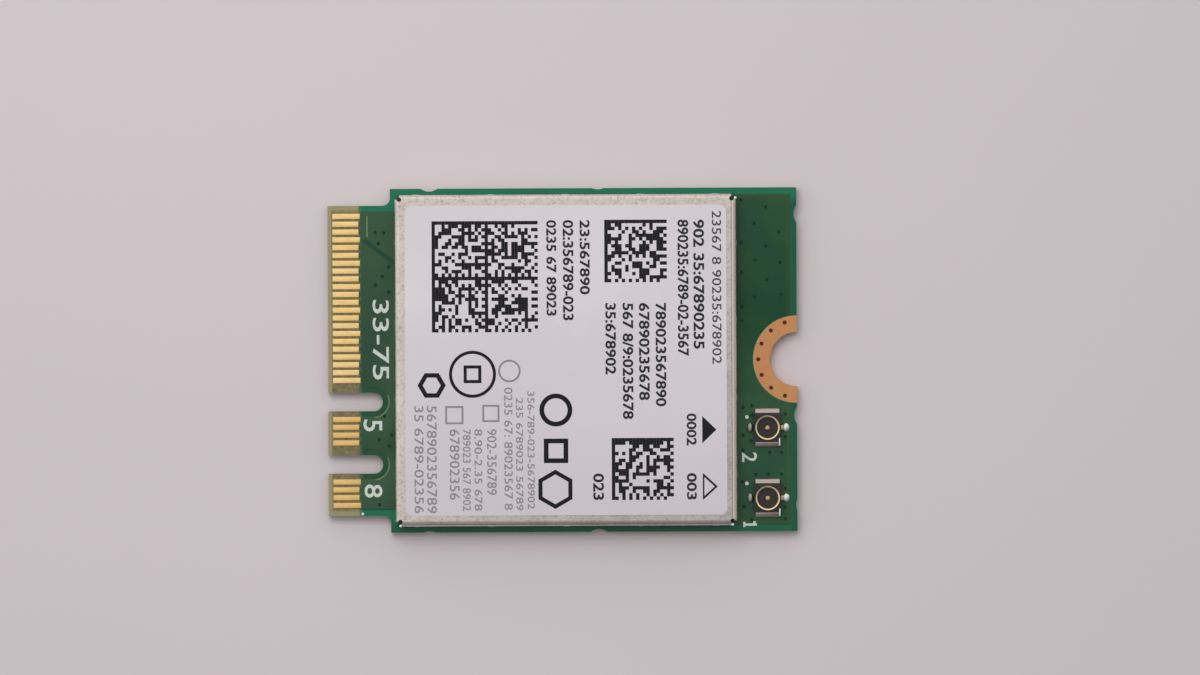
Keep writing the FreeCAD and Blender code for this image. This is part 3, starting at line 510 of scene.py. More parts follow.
def bevel_edges(mesh, edges, width, segments=2):
    bmesh.ops.bevel(mesh, geom=edges, offset=width, offset_type="OFFSET", segments=segments, profile=0.5,
                    affect="EDGES", material=-1, clamp_overlap=True)


def edges_at(mesh, height):
    """The edges that lie level at this height."""
    return [edge for edge in mesh.edges if all(abs(vert.co.z - height) < MERGE for vert in edge.verts)]


def add_figures(mesh, figures, length, height, weight, rise, place):
    """A row of figures as a film of ink, stretched to this length and height from the corner of a place."""
    row = bpy.data.curves.new("figures", "FONT")
    row.body = figures
    row.extrude = rise
    row.offset = weight
    row.resolution_u = FIGURE_STEPS
    carrier = bpy.data.objects.new("figures", row)
    bpy.context.scene.collection.objects.link(carrier)
    shape = bpy.data.meshes.new_from_object(carrier.evaluated_get(bpy.context.evaluated_depsgraph_get()))
    bpy.data.objects.remove(carrier)
    bpy.data.curves.remove(row)
    xs, ys = [vert.co.x for vert in shape.vertices], [vert.co.y for vert in shape.vertices]
    stretch = Matrix.Diagonal((length / (max(xs) - min(xs)), height / (max(ys) - min(ys)), 1, 1))
    shape.transform(place @ stretch @ Matrix.Translation((-min(xs), -min(ys), 0)))
    mesh.from_mesh(shape)
    bpy.data.meshes.remove(shape)


# Circuit board: copper under the coating, holes and print

KEY_GAP = KEY_RADIUS + KEY_CLEARANCE


def build_copper_area(face):
    """Copper under the coating: the board's outline drawn in, clear of the keys and the ring."""
    side, tongue_side = board_high.y - POUR_INSET, TONGUE_HALF - POUR_INSET
    shoulder, end = SHOULDER + POUR_INSET, CARD_END - POUR_INSET
    ring_gap = CARD_END - ring_low.x + RING_CLEARANCE
    half_turn = math.acos(POUR_INSET / ring_gap)
    ring_side = ring_gap * math.sin(half_turn)
    key_ends = []
    places = [(end, ring_side), (end, side), (shoulder, side), (shoulder, tongue_side),
              (POUR_START, tongue_side)]
    for y in KEY_CENTRES:
        key_ends += [len(places) + 1, len(places) + 2]
        places += [(POUR_START, y + KEY_GAP), (KEY_END + KEY_GAP, y + KEY_GAP),
                   (KEY_END + KEY_GAP, y - KEY_GAP), (POUR_START, y - KEY_GAP)]
    places += [(POUR_START, -tongue_side), (shoulder, -tongue_side), (shoulder, -side), (end, -side),
               (end, -ring_side)]
    mesh = bmesh.new()
    corners = [mesh.verts.new((x, y, -SINK)) for x, y in places]
    for pair in zip(corners, corners[1:]):
        mesh.edges.new(pair)
    bmesh.ops.spin(mesh, geom=corners[-1:], cent=(CARD_END, 0, 0), axis=(0, 0, 1), dvec=(0, 0, 0),
                   angle=-2 * half_turn, steps=2 * ROUND_STEPS)
    bmesh.ops.weld_verts(mesh, targetmap={mesh.verts[:][-1]: corners[0]})
    bmesh.ops.contextual_create(mesh, geom=mesh.edges[:])
    bmesh.ops.bevel(mesh, geom=[corners[i] for i in key_ends], offset=KEY_GAP, offset_type="OFFSET",
                    segments=ROUND_STEPS, profile=0.5, affect="VERTICES", material=-1)
    bmesh.ops.remove_doubles(mesh, verts=mesh.verts, dist=MERGE)
    pull_faces(mesh, mesh.faces[:], (0, 0, SINK + COPPER_RELIEF))
    bevel_edges(mesh, edges_at(mesh, COPPER_RELIEF), POUR_BEVEL)
    new_piece(f"copper_area_{face}", mesh, POUR, "solder_mask", place=FACES[face])


# The arc of painted highlight round each key
KEY_RIM_WIDTH = 0.085 * MM
KEY_RIM_RELIEF = 0.034 * MM
KEY_RIM_START, KEY_RIM_TURN = -85, 110  # degrees


def build_key_rim_highlights():
    """A painted highlight: a pale arc of coating where the copper comes down round one side of each key."""
    mesh = bmesh.new()
    near = KEY_GAP + POUR_BEVEL
    far = near + KEY_RIM_WIDTH
    for y in KEY_CENTRES:
        add_tube(mesh, near, far, SINK, KEY_RIM_RELIEF, (KEY_END, y), ROUND_STEPS, start=KEY_RIM_START,
                 turn=KEY_RIM_TURN)
    new_piece("key_rim_highlights", mesh, RIM_HIGHLIGHT, "solder_mask", place=FACES["top"])


CONTACT_GROUPS = {
    "top": {"main": range(33, 76, 2), "middle": range(17, 24, 2), "end": range(1, 8, 2)},
    "bottom": {"main": range(32, 75, 2), "middle": range(16, 23, 2), "end": range(2, 7, 2)},
}
CONTACT_FOOT = 0.04 * MM
CONTACT_CROWN = 0.042 * MM
GROUND_CONTACTS = (1, 7, 23, *range(33, 76, 6))
GROUND_TAB = 0.09 * MM
TRACK_WIDTH = 0.2 * MM
TRACK_RELIEF = 0.02 * MM


def build_contacts(face):
    """Crowned gold contacts, the ground ones a little longer, and the coated tracks behind them."""
    tracks = bmesh.new()
    for group, numbers in CONTACT_GROUPS[face].items():
        mesh = bmesh.new()
        for number in numbers:
            y = (number - MIDDLE_CONTACT) * CONTACT_PITCH / 2
            end = LAND_END + (GROUND_TAB if number in GROUND_CONTACTS else 0)
            add_box(mesh, (contacts_low.x, y - CONTACT_WIDTH / 2, -CONTACT_FOOT),
                    (end, y + CONTACT_WIDTH / 2, CONTACT_RELIEF))
            add_box(tracks, (end - SINK, y - TRACK_WIDTH / 2, -SINK),
                    (POUR_START + 2 * POUR_BEVEL, y + TRACK_WIDTH / 2, TRACK_RELIEF))
        bevel_edges(mesh, edges_at(mesh, CONTACT_RELIEF), CONTACT_CROWN, segments=4)
        new_piece(f"gold_contacts_{face}_{group}", mesh, GOLD, "gold_plate", f"contacts_{face}_{group}",
                  place=FACES[face])
    new_piece(f"contact_tracks_{face}", tracks, POUR, "solder_mask", place=FACES[face])


# Small plated holes under the coating, at places in millimetres: beside the screw ring, round each
# antenna connector (measured from its centre) and behind the contacts
VIA_RADIUS = 0.115 * MM
VIA_RIM = 0.008 * MM
VIA_DISH = 0.035 * MM
VIA_DEPTH = 0.006 * MM
BESIDE_RING = ((11.45, 10.2), (13.05, 9.75), (12.3, 8.7), (13.9, 8.15), (11.45, 7.45), (13.05, 7.25),
               (12.35, 6.35), (13.95, 6.2), (11.5, 5.55), (13.1, 5.1), (12.3, 4.0), (14.0, 4.15),
               (11.5, 3.35), (11.5, 2.5))
BESIDE_ANTENNA = {
    2: ((-1.55, 1.3), (-0.97, 1.4), (-1.0, 0.8), (1.15, 0.85), (-1.55, -0.5), (-1.05, -0.85), (1.15, -0.6),
        (-1.55, -1.45), (0.15, -1.6), (0.9, -1.6)),
    1: ((-0.75, 1.5), (0.05, 1.5), (0.9, 1.5), (-1.6, 1.05), (1.12, 0.58), (-1.5, -0.55), (1.12, -0.6),
        (1.15, -1.35), (-1.0, -1.42)),
}
BEHIND_CONTACTS = ((-11.95, 8.2), (-11.4, 8.2), (-11.75, 7.5), (-11.1, 6.0), (-11.5, 5.4), (-11.95, 4.85),
                   (-11.1, 4.4), (-11.4, -3.55), (-10.95, -4.75), (-11.73, -5.05), (-11.1, -5.45),
                   (-11.73, -9.2))
UNDER_CAN_PITCH = 2.4 * MM
UNDER_CAN_COLUMNS = 8
UNDER_CAN_ROWS = 8


def antenna_centre(number):
    low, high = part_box(f"antenna_{number}_insulator")
    return ((low + high) / 2).xy


def open_vias():
    """The holes that are not under the can."""
    places = [Vector(place) * MM for place in BESIDE_RING + BEHIND_CONTACTS]
    for number, offsets in BESIDE_ANTENNA.items():
        places += [antenna_centre(number) + Vector(offset) * MM for offset in offsets]
    return places


def under_can_vias():
    """An even, staggered field of holes that ties the ground copper of the two faces together."""
    places = []
    for column in range(UNDER_CAN_COLUMNS):
        x = (column - (UNDER_CAN_COLUMNS - 1) / 2) * UNDER_CAN_PITCH
        shift = (column % 2 - 0.5) * UNDER_CAN_PITCH / 2
        for row in range(UNDER_CAN_ROWS):
            places.append(Vector((x, (row - (UNDER_CAN_ROWS - 1) / 2) * UNDER_CAN_PITCH + shift)))
    return places


def build_vias(face, places):
    """Each hole is a low rim of coating round a shallow dish."""
    mesh = bmesh.new()
    for place in places:
        add_disc(mesh, place, VIA_RADIUS, COPPER_RELIEF - SINK, COPPER_RELIEF + VIA_RIM, ROUND_STEPS)
    mesh.normal_update()
    lids = [side for side in mesh.faces
            if len(side.verts) > 4 and side.calc_center_median().z > COPPER_RELIEF]
    bmesh.ops.inset_individual(mesh, faces=lids, thickness=VIA_DISH, depth=-VIA_DEPTH)
    new_piece(f"coated_holes_{face}", mesh, VIA, "solder_mask", place=FACES[face])


RING_VIAS = 7
RING_VIA_RADIUS = 0.15 * MM
RING_VIA_INSET = 0.33 * MM
RING_VIA_ANGLE = 24  # degrees from one to the next
NOTCH_STEPS = 40
PLATING = 0.02 * MM
FILL_DEPTH = 0.1 * MM


def build_ring_plating():
    """Copper inside the ring's holes and round the wall of the screw notch, and a dark brown fill partway
    down the holes.
    """
    plating, fills = bmesh.new(), bmesh.new()
    via_circle = CARD_END - ring_low.x - RING_VIA_INSET
    for number in range(RING_VIAS):
        angle = math.radians(180 + RING_VIA_ANGLE * (number - (RING_VIAS - 1) / 2))
        centre = Vector((CARD_END, 0)) + via_circle * Vector((math.cos(angle), math.sin(angle)))
        add_tube(plating, RING_VIA_RADIUS - PLATING, RING_VIA_RADIUS, BOARD_BOTTOM, BOARD_TOP, centre,
                 DISC_STEPS)
        add_disc(fills, centre, RING_VIA_RADIUS - PLATING / 2, BOARD_BOTTOM + FILL_DEPTH,
                 BOARD_TOP - FILL_DEPTH)
    add_tube(plating, NOTCH_RADIUS - PLATING, NOTCH_RADIUS, BOARD_BOTTOM, BOARD_TOP, (CARD_END, 0),
             NOTCH_STEPS, start=90, turn=180)
    new_piece("ring_plating", plating, COPPER, "bare_copper")
    new_piece("ring_hole_fills", fills, HOLE_FILL, "solder_mask")


# A gap in the copper behind the contacts and a painted highlight on the rim of a track there: its two ends
# and width, in millimetres
TRACK_GAP_RUN = ((-12.7, 7.75), (-10.5, 6.1), 0.26)
TRACK_RIM_HIGHLIGHT_RUN = ((-12.47, 9.27), (-12.47, 7.93), 0.1)
TRACK_RUN_RELIEF = 0.003 * MM


def build_track_run(name, start, end, width, finish):
    """The coating is deeper and darker over a gap, and paler on a rim as a painted highlight."""
    mesh = bmesh.new()
    run = (Vector(end) - Vector(start)) * MM
    place = Matrix.Translation((*(Vector(start) * MM), COPPER_RELIEF))
    place = place @ Matrix.Rotation(math.atan2(run.y, run.x), 4, "Z")
    half = width * MM / 2
    add_box(mesh, (0, -half, -SINK), (run.length, half, TRACK_RUN_RELIEF), place)
    new_piece(name, mesh, finish, "solder_mask", place=FACES["top"])


READING = Matrix.Rotation(math.radians(-90), 4, "Z")
SILKSCREEN_WEIGHT = 0.009  # added to each side of a stroke, as a share of the type's size
SILKSCREEN_FIGURES = (
    # Figures, the corner where they start, their length down the card and their height, in millimetres
    ("33-75", -12.14, 3.9, 5.1, 1.05),
    ("5", -12.75, -3.75, 0.76, 1.2),
    ("8", -12.7, -7.9, 0.85, 1.15),
    ("2", 11.47, -5.95, 0.62, 0.95),
    ("1", 11.58, -10.5, 0.15, 0.82),
)
# The 1 also has a foot and a flag: low and high corners, in millimetres
SILKSCREEN_STROKES = (((11.52, -10.74, 0), (11.66, -10.4, 0)), ((12.17, -10.52, 0), (12.32, -10.36, 0)))
STROKE_RELIEF = 0.9 * SILKSCREEN_RELIEF  # a little lower than the figure, so that no faces coincide
SILKSCREEN_DOTS = {1: Vector((-1.32, 0.93)) * MM, 2: Vector((-1.3, 0.68)) * MM}
SILKSCREEN_DOT_RADIUS = 0.115 * MM
SILKSCREEN_SPECK = Vector((-12.82, -9.79)) * MM
SILKSCREEN_SPECK_RADIUS = 0.09 * MM


def build_silkscreen():
    """White print: the contacts' numbers, a figure at each key, the connectors' numbers and dots, a speck."""
    mesh = bmesh.new()
    level = BOARD_TOP + COPPER_RELIEF
    for figures, x, y, length, height in SILKSCREEN_FIGURES:
        place = Matrix.Translation((x * MM, y * MM, level)) @ READING
        add_figures(mesh, figures, length * MM, height * MM, SILKSCREEN_WEIGHT, SILKSCREEN_RELIEF, place)
    for low, high in SILKSCREEN_STROKES:
        add_box(mesh, Vector(low) * MM + Vector((0, 0, level - SINK)),
                Vector(high) * MM + Vector((0, 0, level + STROKE_RELIEF)))
    for number, offset in SILKSCREEN_DOTS.items():
        add_disc(mesh, antenna_centre(number) + offset, SILKSCREEN_DOT_RADIUS, level - SINK,
                 level + SILKSCREEN_RELIEF)
    add_disc(mesh, SILKSCREEN_SPECK, SILKSCREEN_SPECK_RADIUS, BOARD_TOP - SINK, BOARD_TOP + SILKSCREEN_RELIEF)
    new_piece("board_print", mesh, WHITE_INK, "paper_label")


# Shield can solder

SIDE_FEET = 5
END_FEET = 4
SIDE_FOOT_DISTANCE = 1.33 * MM
END_FOOT_DISTANCE = 3.15 * MM
FOOT_BEAD = Vector((0.36, 0.085, 0.2)) * MM
CORNER_POST_RADIUS = 0.1 * MM
CORNER_POST_TOP = BOARD_TOP + 1.29 * MM
CORNER_POST_ROUND = 0.05 * MM
# How far a post is in from the can's two sides, in millimetres, and the corner it stands in
CORNER_POSTS = ((0.05, 0.27, 1, 1), (0.3, 0.06, 1, -1), (0.32, 0.05, -1, -1))


def spread(first, last, count):
    return [first + (last - first) * i / (count - 1) for i in range(count)]


def build_shield_solder():
    """Drops of solder at the can's feet, and solder that has run up the open corners to their tops."""
    mesh = bmesh.new()
    for x in spread(can_low.x + SIDE_FOOT_DISTANCE, can_high.x - SIDE_FOOT_DISTANCE, SIDE_FEET):
        for y in (can_low.y, can_high.y):
            add_bead(mesh, (x, y, BOARD_TOP), FOOT_BEAD)
    for y in spread(can_low.y + END_FOOT_DISTANCE, can_high.y - END_FOOT_DISTANCE, END_FEET):
        for x in (can_low.x, can_high.x):
            add_bead(mesh, (x, y, BOARD_TOP), FOOT_BEAD.yxz)
    new_piece("can_solder", mesh, SOLDER, "solder", "shield_solder")
    mesh = bmesh.new()
    for inset_x, inset_y, side_x, side_y in CORNER_POSTS:
        x = (can_high.x if side_x > 0 else can_low.x) - side_x * inset_x * MM
        y = (can_high.y if side_y > 0 else can_low.y) - side_y * inset_y * MM
        add_disc(mesh, (x, y), CORNER_POST_RADIUS, BOARD_TOP, CORNER_POST_TOP)
    bevel_edges(mesh, edges_at(mesh, CORNER_POST_TOP), CORNER_POST_ROUND, segments=4)
    new_piece("can_corner_solder", mesh, SOLDER, "solder")


# Antenna connectors

SHELL_RADIUS = 0.775 * MM
SHELL_BORE = 0.615 * MM
SHELL_FLARE = 0.03 * MM
SHELL_FOOT = 0.11 * MM
SHELL_STRAIGHT = 0.36 * MM
SHELL_NECK = (0.4 * MM, 0.46 * MM, 0.52 * MM)
NECK_DEPTH = 0.04 * MM
SHELL_HEIGHT = 0.62 * MM
SHELL_STEPS = 64
CREST_ROUND = 0.02 * MM
MOUTH_RADIUS = 0.685 * MM
MOUTH_HEIGHT = 0.575 * MM
LEAD_IN_FOOT = 0.42 * MM
STRAP_ROOT = 0.575 * MM
STRAP_HALF = 0.775 * MM
STRAP_REACH = 1.17 * MM
STRAP_TOP = 0.16 * MM
STRAP_FOLD = (0.09 * MM, 0.5 * MM, 0.36 * MM)  # width, length and height
LUG_TIP = (1.06 * MM, 0.15 * MM, 0.17 * MM)  # reach, half width and height
TAIL_HALF = 0.275 * MM
TAIL_REACH = 0.85 * MM
PIN_RADIUS = 0.165 * MM
PIN_HEIGHT = 0.46 * MM
PIN_ROUND = 0.1 * MM
PIN_STEPS = 32
TAIL_TOP = 0.06 * MM
EDGE_ROUND = 0.02 * MM


def round_box(mesh, low, high):
    corners = add_box(mesh, low, high)
    bevel_edges(mesh, list({edge for corner in corners for edge in corner.link_edges}), EDGE_ROUND)


def build_antenna_shell(number):
    """The gold outer contact: a ring with a groove that holds the plug, and a mouth that slopes inwards."""
    x, y = antenna_centre(number)
    mesh = bmesh.new()
    neck_low, neck_mid, neck_high = SHELL_NECK
    profile = [(SHELL_BORE, SHELL_FOOT), (SHELL_RADIUS + SHELL_FLARE, SHELL_FOOT),
               (SHELL_RADIUS, SHELL_STRAIGHT), (SHELL_RADIUS, neck_low),
               (SHELL_RADIUS - NECK_DEPTH, neck_mid), (SHELL_RADIUS, neck_high), (SHELL_RADIUS, SHELL_HEIGHT),
               (MOUTH_RADIUS, MOUTH_HEIGHT), (SHELL_BORE, LEAD_IN_FOOT)]
    add_turned(mesh, [(radius, BOARD_TOP + height) for radius, height in profile], (x, y), SHELL_STEPS)
    bevel_edges(mesh, edges_at(mesh, BOARD_TOP + SHELL_HEIGHT), CREST_ROUND, segments=3)
    new_piece(f"antenna_{number}_ring", mesh, THIN_GOLD, "gold_plate", f"antenna_{number}_shell")
    mesh = bmesh.new()
    for low, high in ((STRAP_ROOT, STRAP_REACH), (-STRAP_REACH, -STRAP_ROOT)):
        round_box(mesh, (x - STRAP_HALF, y + low, BOARD_TOP),
                  (x + STRAP_HALF, y + high, BOARD_TOP + STRAP_TOP))
    new_piece(f"antenna_{number}_straps", mesh, GOLD, "gold_plate")


def build_antenna_pin(number):
    """The centre contact: a domed post on a flat tail."""
    x, y = antenna_centre(number)
    mesh = bmesh.new()
    add_disc(mesh, (x, y), PIN_RADIUS, BOARD_TOP, BOARD_TOP + PIN_HEIGHT, PIN_STEPS)
    bevel_edges(mesh, edges_at(mesh, BOARD_TOP + PIN_HEIGHT), PIN_ROUND, segments=6)
    round_box(mesh, (x - TAIL_REACH, y - TAIL_HALF, BOARD_TOP), (x, y + TAIL_HALF, BOARD_TOP + TAIL_TOP))
    new_piece(f"antenna_{number}_post", mesh, PIN_GOLD, "gold_plate", f"antenna_{number}_pin")


# The section of the solder on a strap: reach from the centre and height, in millimetres
STRAP_SOLDER = ((0.91, 0.0), (0.91, 0.26), (0.97, 0.27), (1.18, 0.19), (1.24, 0.12), (1.26, 0.0))
TAIL_BEAD = Vector((0.22, 0.33, 0.18)) * MM
LUG_BEAD = Vector((0.25, 0.3, 0.19)) * MM
TAIL_BEAD_DISTANCE = 1.1 * MM
LUG_BEAD_DISTANCE = 1.185 * MM


def build_antenna_solder(number):
    """Solder over the strap ends in a slope, the tinned lug, and drops on the lug and the tail."""
    x, y = antenna_centre(number)
    mesh = bmesh.new()
    for side in (1, -1):
        section = [mesh.verts.new((x - STRAP_HALF, y + side * reach * MM, BOARD_TOP + rise * MM))
                   for reach, rise in STRAP_SOLDER]
        pull_faces(mesh, [mesh.faces.new(section)], (2 * STRAP_HALF, 0, 0))
    bevel_edges(mesh, mesh.edges[:], EDGE_ROUND)
    tip, half, rise = LUG_TIP
    round_box(mesh, (x + STRAP_ROOT, y - half, BOARD_TOP), (x + tip, y + half, BOARD_TOP + rise))
    # Painted shade: the strap joints take a darker copy of the solder
    new_piece(f"antenna_{number}_joints", mesh, SHADED_SOLDER, "solder", f"antenna_{number}_solder")
    mesh = bmesh.new()
    add_bead(mesh, (x - TAIL_BEAD_DISTANCE, y, BOARD_TOP + TAIL_TOP / 2), TAIL_BEAD)
    # Painted shade: the tail joint takes a still darker copy of the solder
    new_piece(f"antenna_{number}_tail_joint", mesh, DEEP_SHADED_SOLDER, "solder")
    mesh = bmesh.new()
    add_bead(mesh, (x + LUG_BEAD_DISTANCE, y, BOARD_TOP + TAIL_TOP / 2), LUG_BEAD)
    width, length, rise = STRAP_FOLD
    round_box(mesh, (x + STRAP_HALF - width / 2, y - STRAP_REACH, BOARD_TOP),
              (x + STRAP_HALF + width / 2, y - STRAP_REACH + length, BOARD_TOP + rise))
    new_piece(f"antenna_{number}_bright_joints", mesh, SOLDER, "solder")


# Label print. A place on the label is a distance along the reading direction, which runs down the
# card, and a height above the label's lower edge, which faces the contacts, both in millimetres.

PRINT = Matrix.Translation((label_low.x, label_high.y, label_high.z)) @ READING

BOLD_LINES = (
    # Figures, start along the line, height of the baseline, length and height
    ("0235 67 89023", 0.95, 9.02, 6.1, 0.66),
    ("02:356789-023", 0.95, 10.07, 6.4, 0.7),
    ("23:567890", 0.95, 11.15, 4.75, 0.66),
    ("35:678902", 6.25, 12.76, 4.55, 0.7),
    ("567 8/9:0235678", 6.25, 13.86, 7.4, 0.7),
    ("67890235678", 6.25, 14.9, 6.2, 0.7),
    ("789023567890", 6.25, 15.96, 6.6, 0.7),
    ("890235:6789-02-3567", 0.95, 17.38, 8.7, 0.72),
    ("902 35:67890235", 0.95, 18.38, 8.25, 0.72),
    ("023", 17.1, 11.95, 1.7, 0.7),
    ("0002", 13.3, 17.92, 2.05, 0.64),
    ("003", 17.1, 17.92, 1.7, 0.64),
)
FADED_LINES = (
    ("23567 8 90235:678902", 0.4, 19.58, 9.75, 0.6),
)
GREY_LINES = (
    ("35 6789-02356", 12.75, 0.57, 6.85, 0.6),
    ("5678902356789", 12.75, 1.37, 6.85, 0.64),
    ("678902356", 14.25, 2.82, 4.5, 0.64),
    ("789023 567 8902", 14.25, 3.65, 5.2, 0.52),
    ("8.90-2.35 678", 14.25, 4.4, 5.2, 0.5),
    ("902-356789", 14.25, 5.2, 4.2, 0.62),
    ("0235 67: 89023567 8", 11.6, 6.3, 7.8, 0.54),
    ("235 6789023 56789", 12.25, 7.05, 7.2, 0.46),
    ("356-789-023-5678902", 11.85, 7.78, 7.5, 0.46),
)
BOLD_WEIGHT = 0.024  # measured as SILKSCREEN_WEIGHT is
PLAIN_WEIGHT = 0.006


def build_print_lines(name, lines, finish, weight):
    mesh = bmesh.new()
    for figures, along, height, length, letter in lines:
        place = PRINT @ Matrix.Translation((along * MM, height * MM, 0))
        add_figures(mesh, figures, length * MM, letter * MM, weight, INK_RELIEF, place)
    new_piece(name, mesh, finish, "paper_label")


CODE_SEED = 3075
CODES = (
    # Start along the line, height of the lower edge, length, height, dots along a side, patches along a side
    (1.0, 1.73, 7.08, 6.76, 32, 2),
    (0.95, 12.73, 3.98, 3.98, 18, 1),
    (14.85, 13.15, 3.95, 3.95, 18, 1),
)
ROW_SHARE = 0.985  # a dot is a little lower than its row, so that no faces coincide
DARK_SHARE = 0.52


def code_dot_is_dark(row, column, patch, chance):
    """Each patch has two solid sides, two dashed sides and a random field between them."""
    across, up = column % patch, row % patch
    if across == 0 or up == 0:
        return True
    if up == patch - 1:
        return across % 2 == 0
    if across == patch - 1:
        return up % 2 == 1
    return chance.random() < DARK_SHARE


def build_codes():
    """Square fields of random dots, where the dark dots next to each other in a row are one box."""
    chance = random.Random(CODE_SEED)
    mesh = bmesh.new()
    for along, height, length, rise, count, patches in CODES:
        step, line = length * MM / count, rise * MM / count
        place = PRINT @ Matrix.Translation((along * MM, height * MM, 0))
        for row in range(count):
            dark = [code_dot_is_dark(row, column, count // patches, chance) for column in range(count)]
            start = None
            for column, filled in enumerate(dark + [False]):
                if filled and start is None:
                    start = column
                if not filled and start is not None:
                    add_box(mesh, (start * step, row * line, -SINK),
                            (column * step, (row + ROW_SHARE) * line, INK_RELIEF), place)
                    start = None
    new_piece("label_dot_codes", mesh, BLACK_INK, "paper_label")


def add_mark(mesh, along, height, radius, line, sides, turn=0.0, squash=1.0):
    """A circle or regular polygon on the label, in millimetres: an outline of this width, or filled."""
    place = PRINT @ Matrix.Translation((along * MM, height * MM, -SINK))
    place = place @ Matrix.Diagonal((1, squash, 1, 1)) @ Matrix.Rotation(math.radians(turn), 4, "Z")
    outer = bmesh.ops.create_circle(mesh, cap_ends=line is None, segments=sides, radius=radius * MM,
                                    matrix=place)["verts"]
    if line is None:
        faces = outer[0].link_faces[:]
    else:
        inner_radius = (radius - line / math.cos(math.pi / sides)) * MM
        inner = bmesh.ops.create_circle(mesh, segments=sides, radius=inner_radius, matrix=place)["verts"]
        loops = {edge for vert in outer + inner for edge in vert.link_edges}
        faces = bmesh.ops.bridge_loops(mesh, edges=list(loops))["faces"]
    pull_faces(mesh, faces, (0, 0, INK_RELIEF + SINK))


BLACK_MARKS = (
    # Place, radius, width of the line (none for a filled mark), sides, turn in degrees and squash
    (14.34, 19.22, 1.0, None, 3, 0, 0.6),
    (17.96, 19.26, 1.0, 0.15, 3, 0, 0.63),
    (10.75, 4.3, 1.5, 0.2, 48),
    (10.75, 4.3, 0.8, 0.2, 4, 45),
    (11.45, 1.7, 0.9, 0.28, 6),
    (13.05, 9.6, 1.05, 0.3, 32),
    (15.65, 9.6, 1.1, 0.3, 4, 45),
    (18.1, 9.55, 1.25, 0.26, 6, 30),
)
GREY_MARKS = (
    (10.55, 6.65, 0.72, 0.12, 32),
    (13.35, 3.13, 0.82, 0.12, 4, 45),
    (13.25, 5.46, 0.77, 0.12, 4, 45),
)


def build_label_marks(name, marks, finish):
    """Plain shapes: two pointers to the antenna connectors and a group of simple signs."""
    mesh = bmesh.new()
    for mark in marks:
        add_mark(mesh, *mark)
    new_piece(name, mesh, finish, "paper_label")


# Floor, light and camera

FLOOR_GAP = 0.01 * MM
FLOOR_LEVEL = BOARD_BOTTOM - COPPER_RELIEF - FLOOR_GAP
FLOOR_SIZE = 1.2


def build_floor():
    """Matt paper, very slightly cloudy."""
    made, add, place = new_tree("matt_paper_floor")
    cloud = add("TexNoise", {"Vector": place, "Scale": per(40.0), "Detail": 3.0})
    colour = add("Mix", {0: cloud, 6: "#CBC1C5", 7: "#CEC4C8"}, data_type="RGBA")
    close_tree(made, add, {"Base Color": colour, "Roughness": 0.9, "Specular IOR Level": 0.1})
    mesh = bmesh.new()
    bmesh.ops.create_grid(mesh, x_segments=1, y_segments=1, size=FLOOR_SIZE / 2,
                          matrix=Matrix.Translation((0, 0, FLOOR_LEVEL)))
    floor = new_object("floor", mesh, made)


SKY_DARK = 0.155
SKY_BRIGHT = 0.95
SKY_FADE = (-0.4, 0.5)
SKY_TOWARDS = Vector((-0.3, 0.8, 0.35)).normalized()
LAMP_PLACE = Vector((-27, 57, 137)) * MM
LAMP_SIZE = 0.089
LAMP_ENERGY = 0.0842


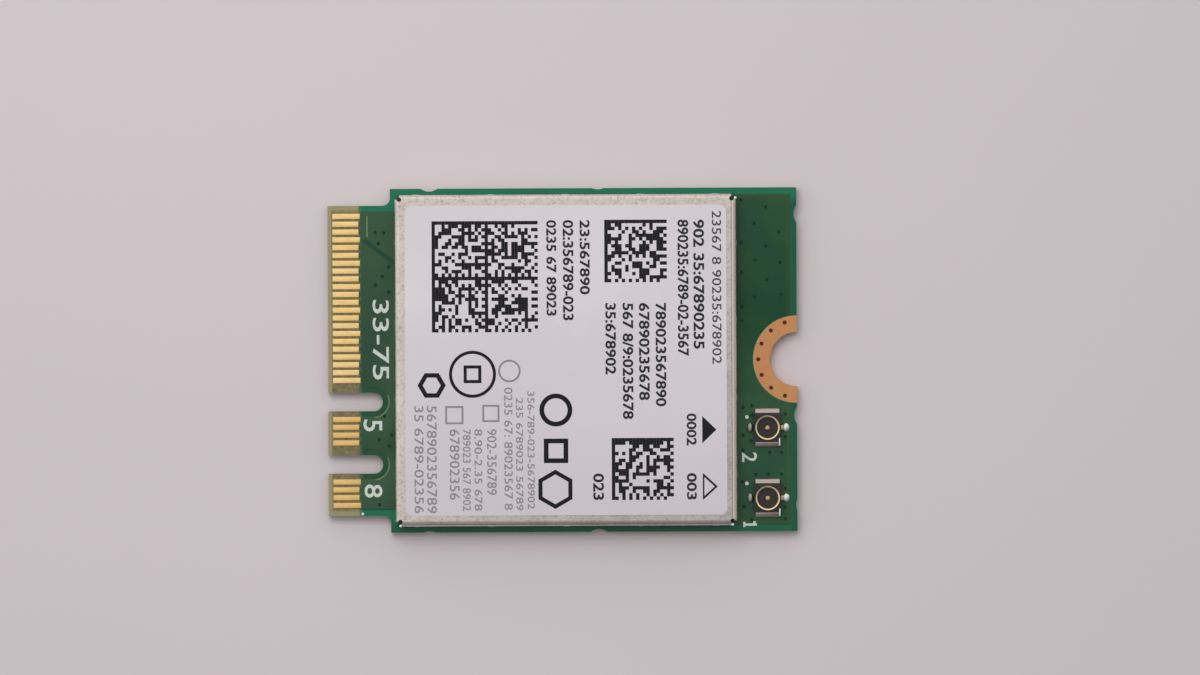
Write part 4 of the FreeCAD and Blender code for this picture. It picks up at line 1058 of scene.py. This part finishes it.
def light_scene():
    """A pale sky that is brighter towards the back of the card, and one broad soft lamp high up there.
    Metal mirrors the sky alone, so the lamp leaves no hard glint on it."""
    world = bpy.data.worlds.new("pale_studio")
    bpy.context.scene.world = world
    world.use_nodes = True
    tree = world.node_tree
    tree.nodes.clear()
    direction = add_node(tree, "TexCoord").outputs["Generated"]
    towards = add_node(tree, "VectorMath", {0: direction, 1: SKY_TOWARDS}, operation="DOT_PRODUCT")
    strength = add_node(tree, "MapRange", {0: towards, 1: SKY_FADE[0], 2: SKY_FADE[1], 3: SKY_DARK,
                                           4: SKY_BRIGHT})
    sky = add_node(tree, "Background", {"Color": "#FFFFFF", "Strength": strength})
    add_node(tree, "OutputWorld", {"Surface": sky})
    lamp = bpy.data.lights.new("key", "AREA")
    lamp.shape = "DISK"
    lamp.size = LAMP_SIZE
    lamp.energy = LAMP_ENERGY
    key = bpy.data.objects.new("key", lamp)
    key.location = LAMP_PLACE
    key.rotation_euler = (-LAMP_PLACE).to_track_quat("-Z", "Y").to_euler()
    key.visible_glossy = False
    bpy.context.scene.collection.objects.link(key)


CAMERA_HEIGHT = 300 * MM
CLIP_START = 5 * MM
FIELD_WIDTH = 76.8 * MM
SENSOR_WIDTH = 36  # millimetres
VIEW_CENTRE = Vector((2.412, 1.436)) * MM
VIEW_ROLL = -0.25  # degrees


def place_camera():
    """Straight above the card, as the photograph was taken, with the card a quarter degree askew."""
    data = bpy.data.cameras.new("camera")
    data.sensor_width = SENSOR_WIDTH
    data.lens = SENSOR_WIDTH * CAMERA_HEIGHT / FIELD_WIDTH
    data.clip_start = CLIP_START
    camera = bpy.data.objects.new("camera", data)
    camera.location = (*VIEW_CENTRE, BOARD_TOP + CAMERA_HEIGHT)
    camera.rotation_euler = (0, 0, math.radians(VIEW_ROLL))
    bpy.context.scene.collection.objects.link(camera)
    bpy.context.scene.camera = camera
    bpy.context.scene.view_settings.view_transform = "Standard"


dress_packed_nodes()
for face in FACES:
    build_copper_area(face)
    build_contacts(face)
build_key_rim_highlights()
build_track_run("track_gap", *TRACK_GAP_RUN, TRACK_GAP)
# A painted highlight along the rim of a track
build_track_run("track_rim_highlight", *TRACK_RIM_HIGHLIGHT_RUN, RIM_HIGHLIGHT)
build_vias("top", open_vias())
build_vias("bottom", open_vias() + under_can_vias())
build_ring_plating()
build_silkscreen()
build_shield_solder()
for antenna in (1, 2):
    build_antenna_shell(antenna)
    build_antenna_pin(antenna)
    build_antenna_solder(antenna)
build_print_lines("label_bold_print", BOLD_LINES, TEXT_INK, BOLD_WEIGHT)
build_print_lines("label_faded_print", FADED_LINES, FADED_INK, PLAIN_WEIGHT)
build_print_lines("label_grey_print", GREY_LINES, GREY_INK, PLAIN_WEIGHT)
build_codes()
build_label_marks("label_marks", BLACK_MARKS, BLACK_INK)
build_label_marks("label_grey_marks", GREY_MARKS, GREY_INK)
build_floor()
light_scene()
place_camera()
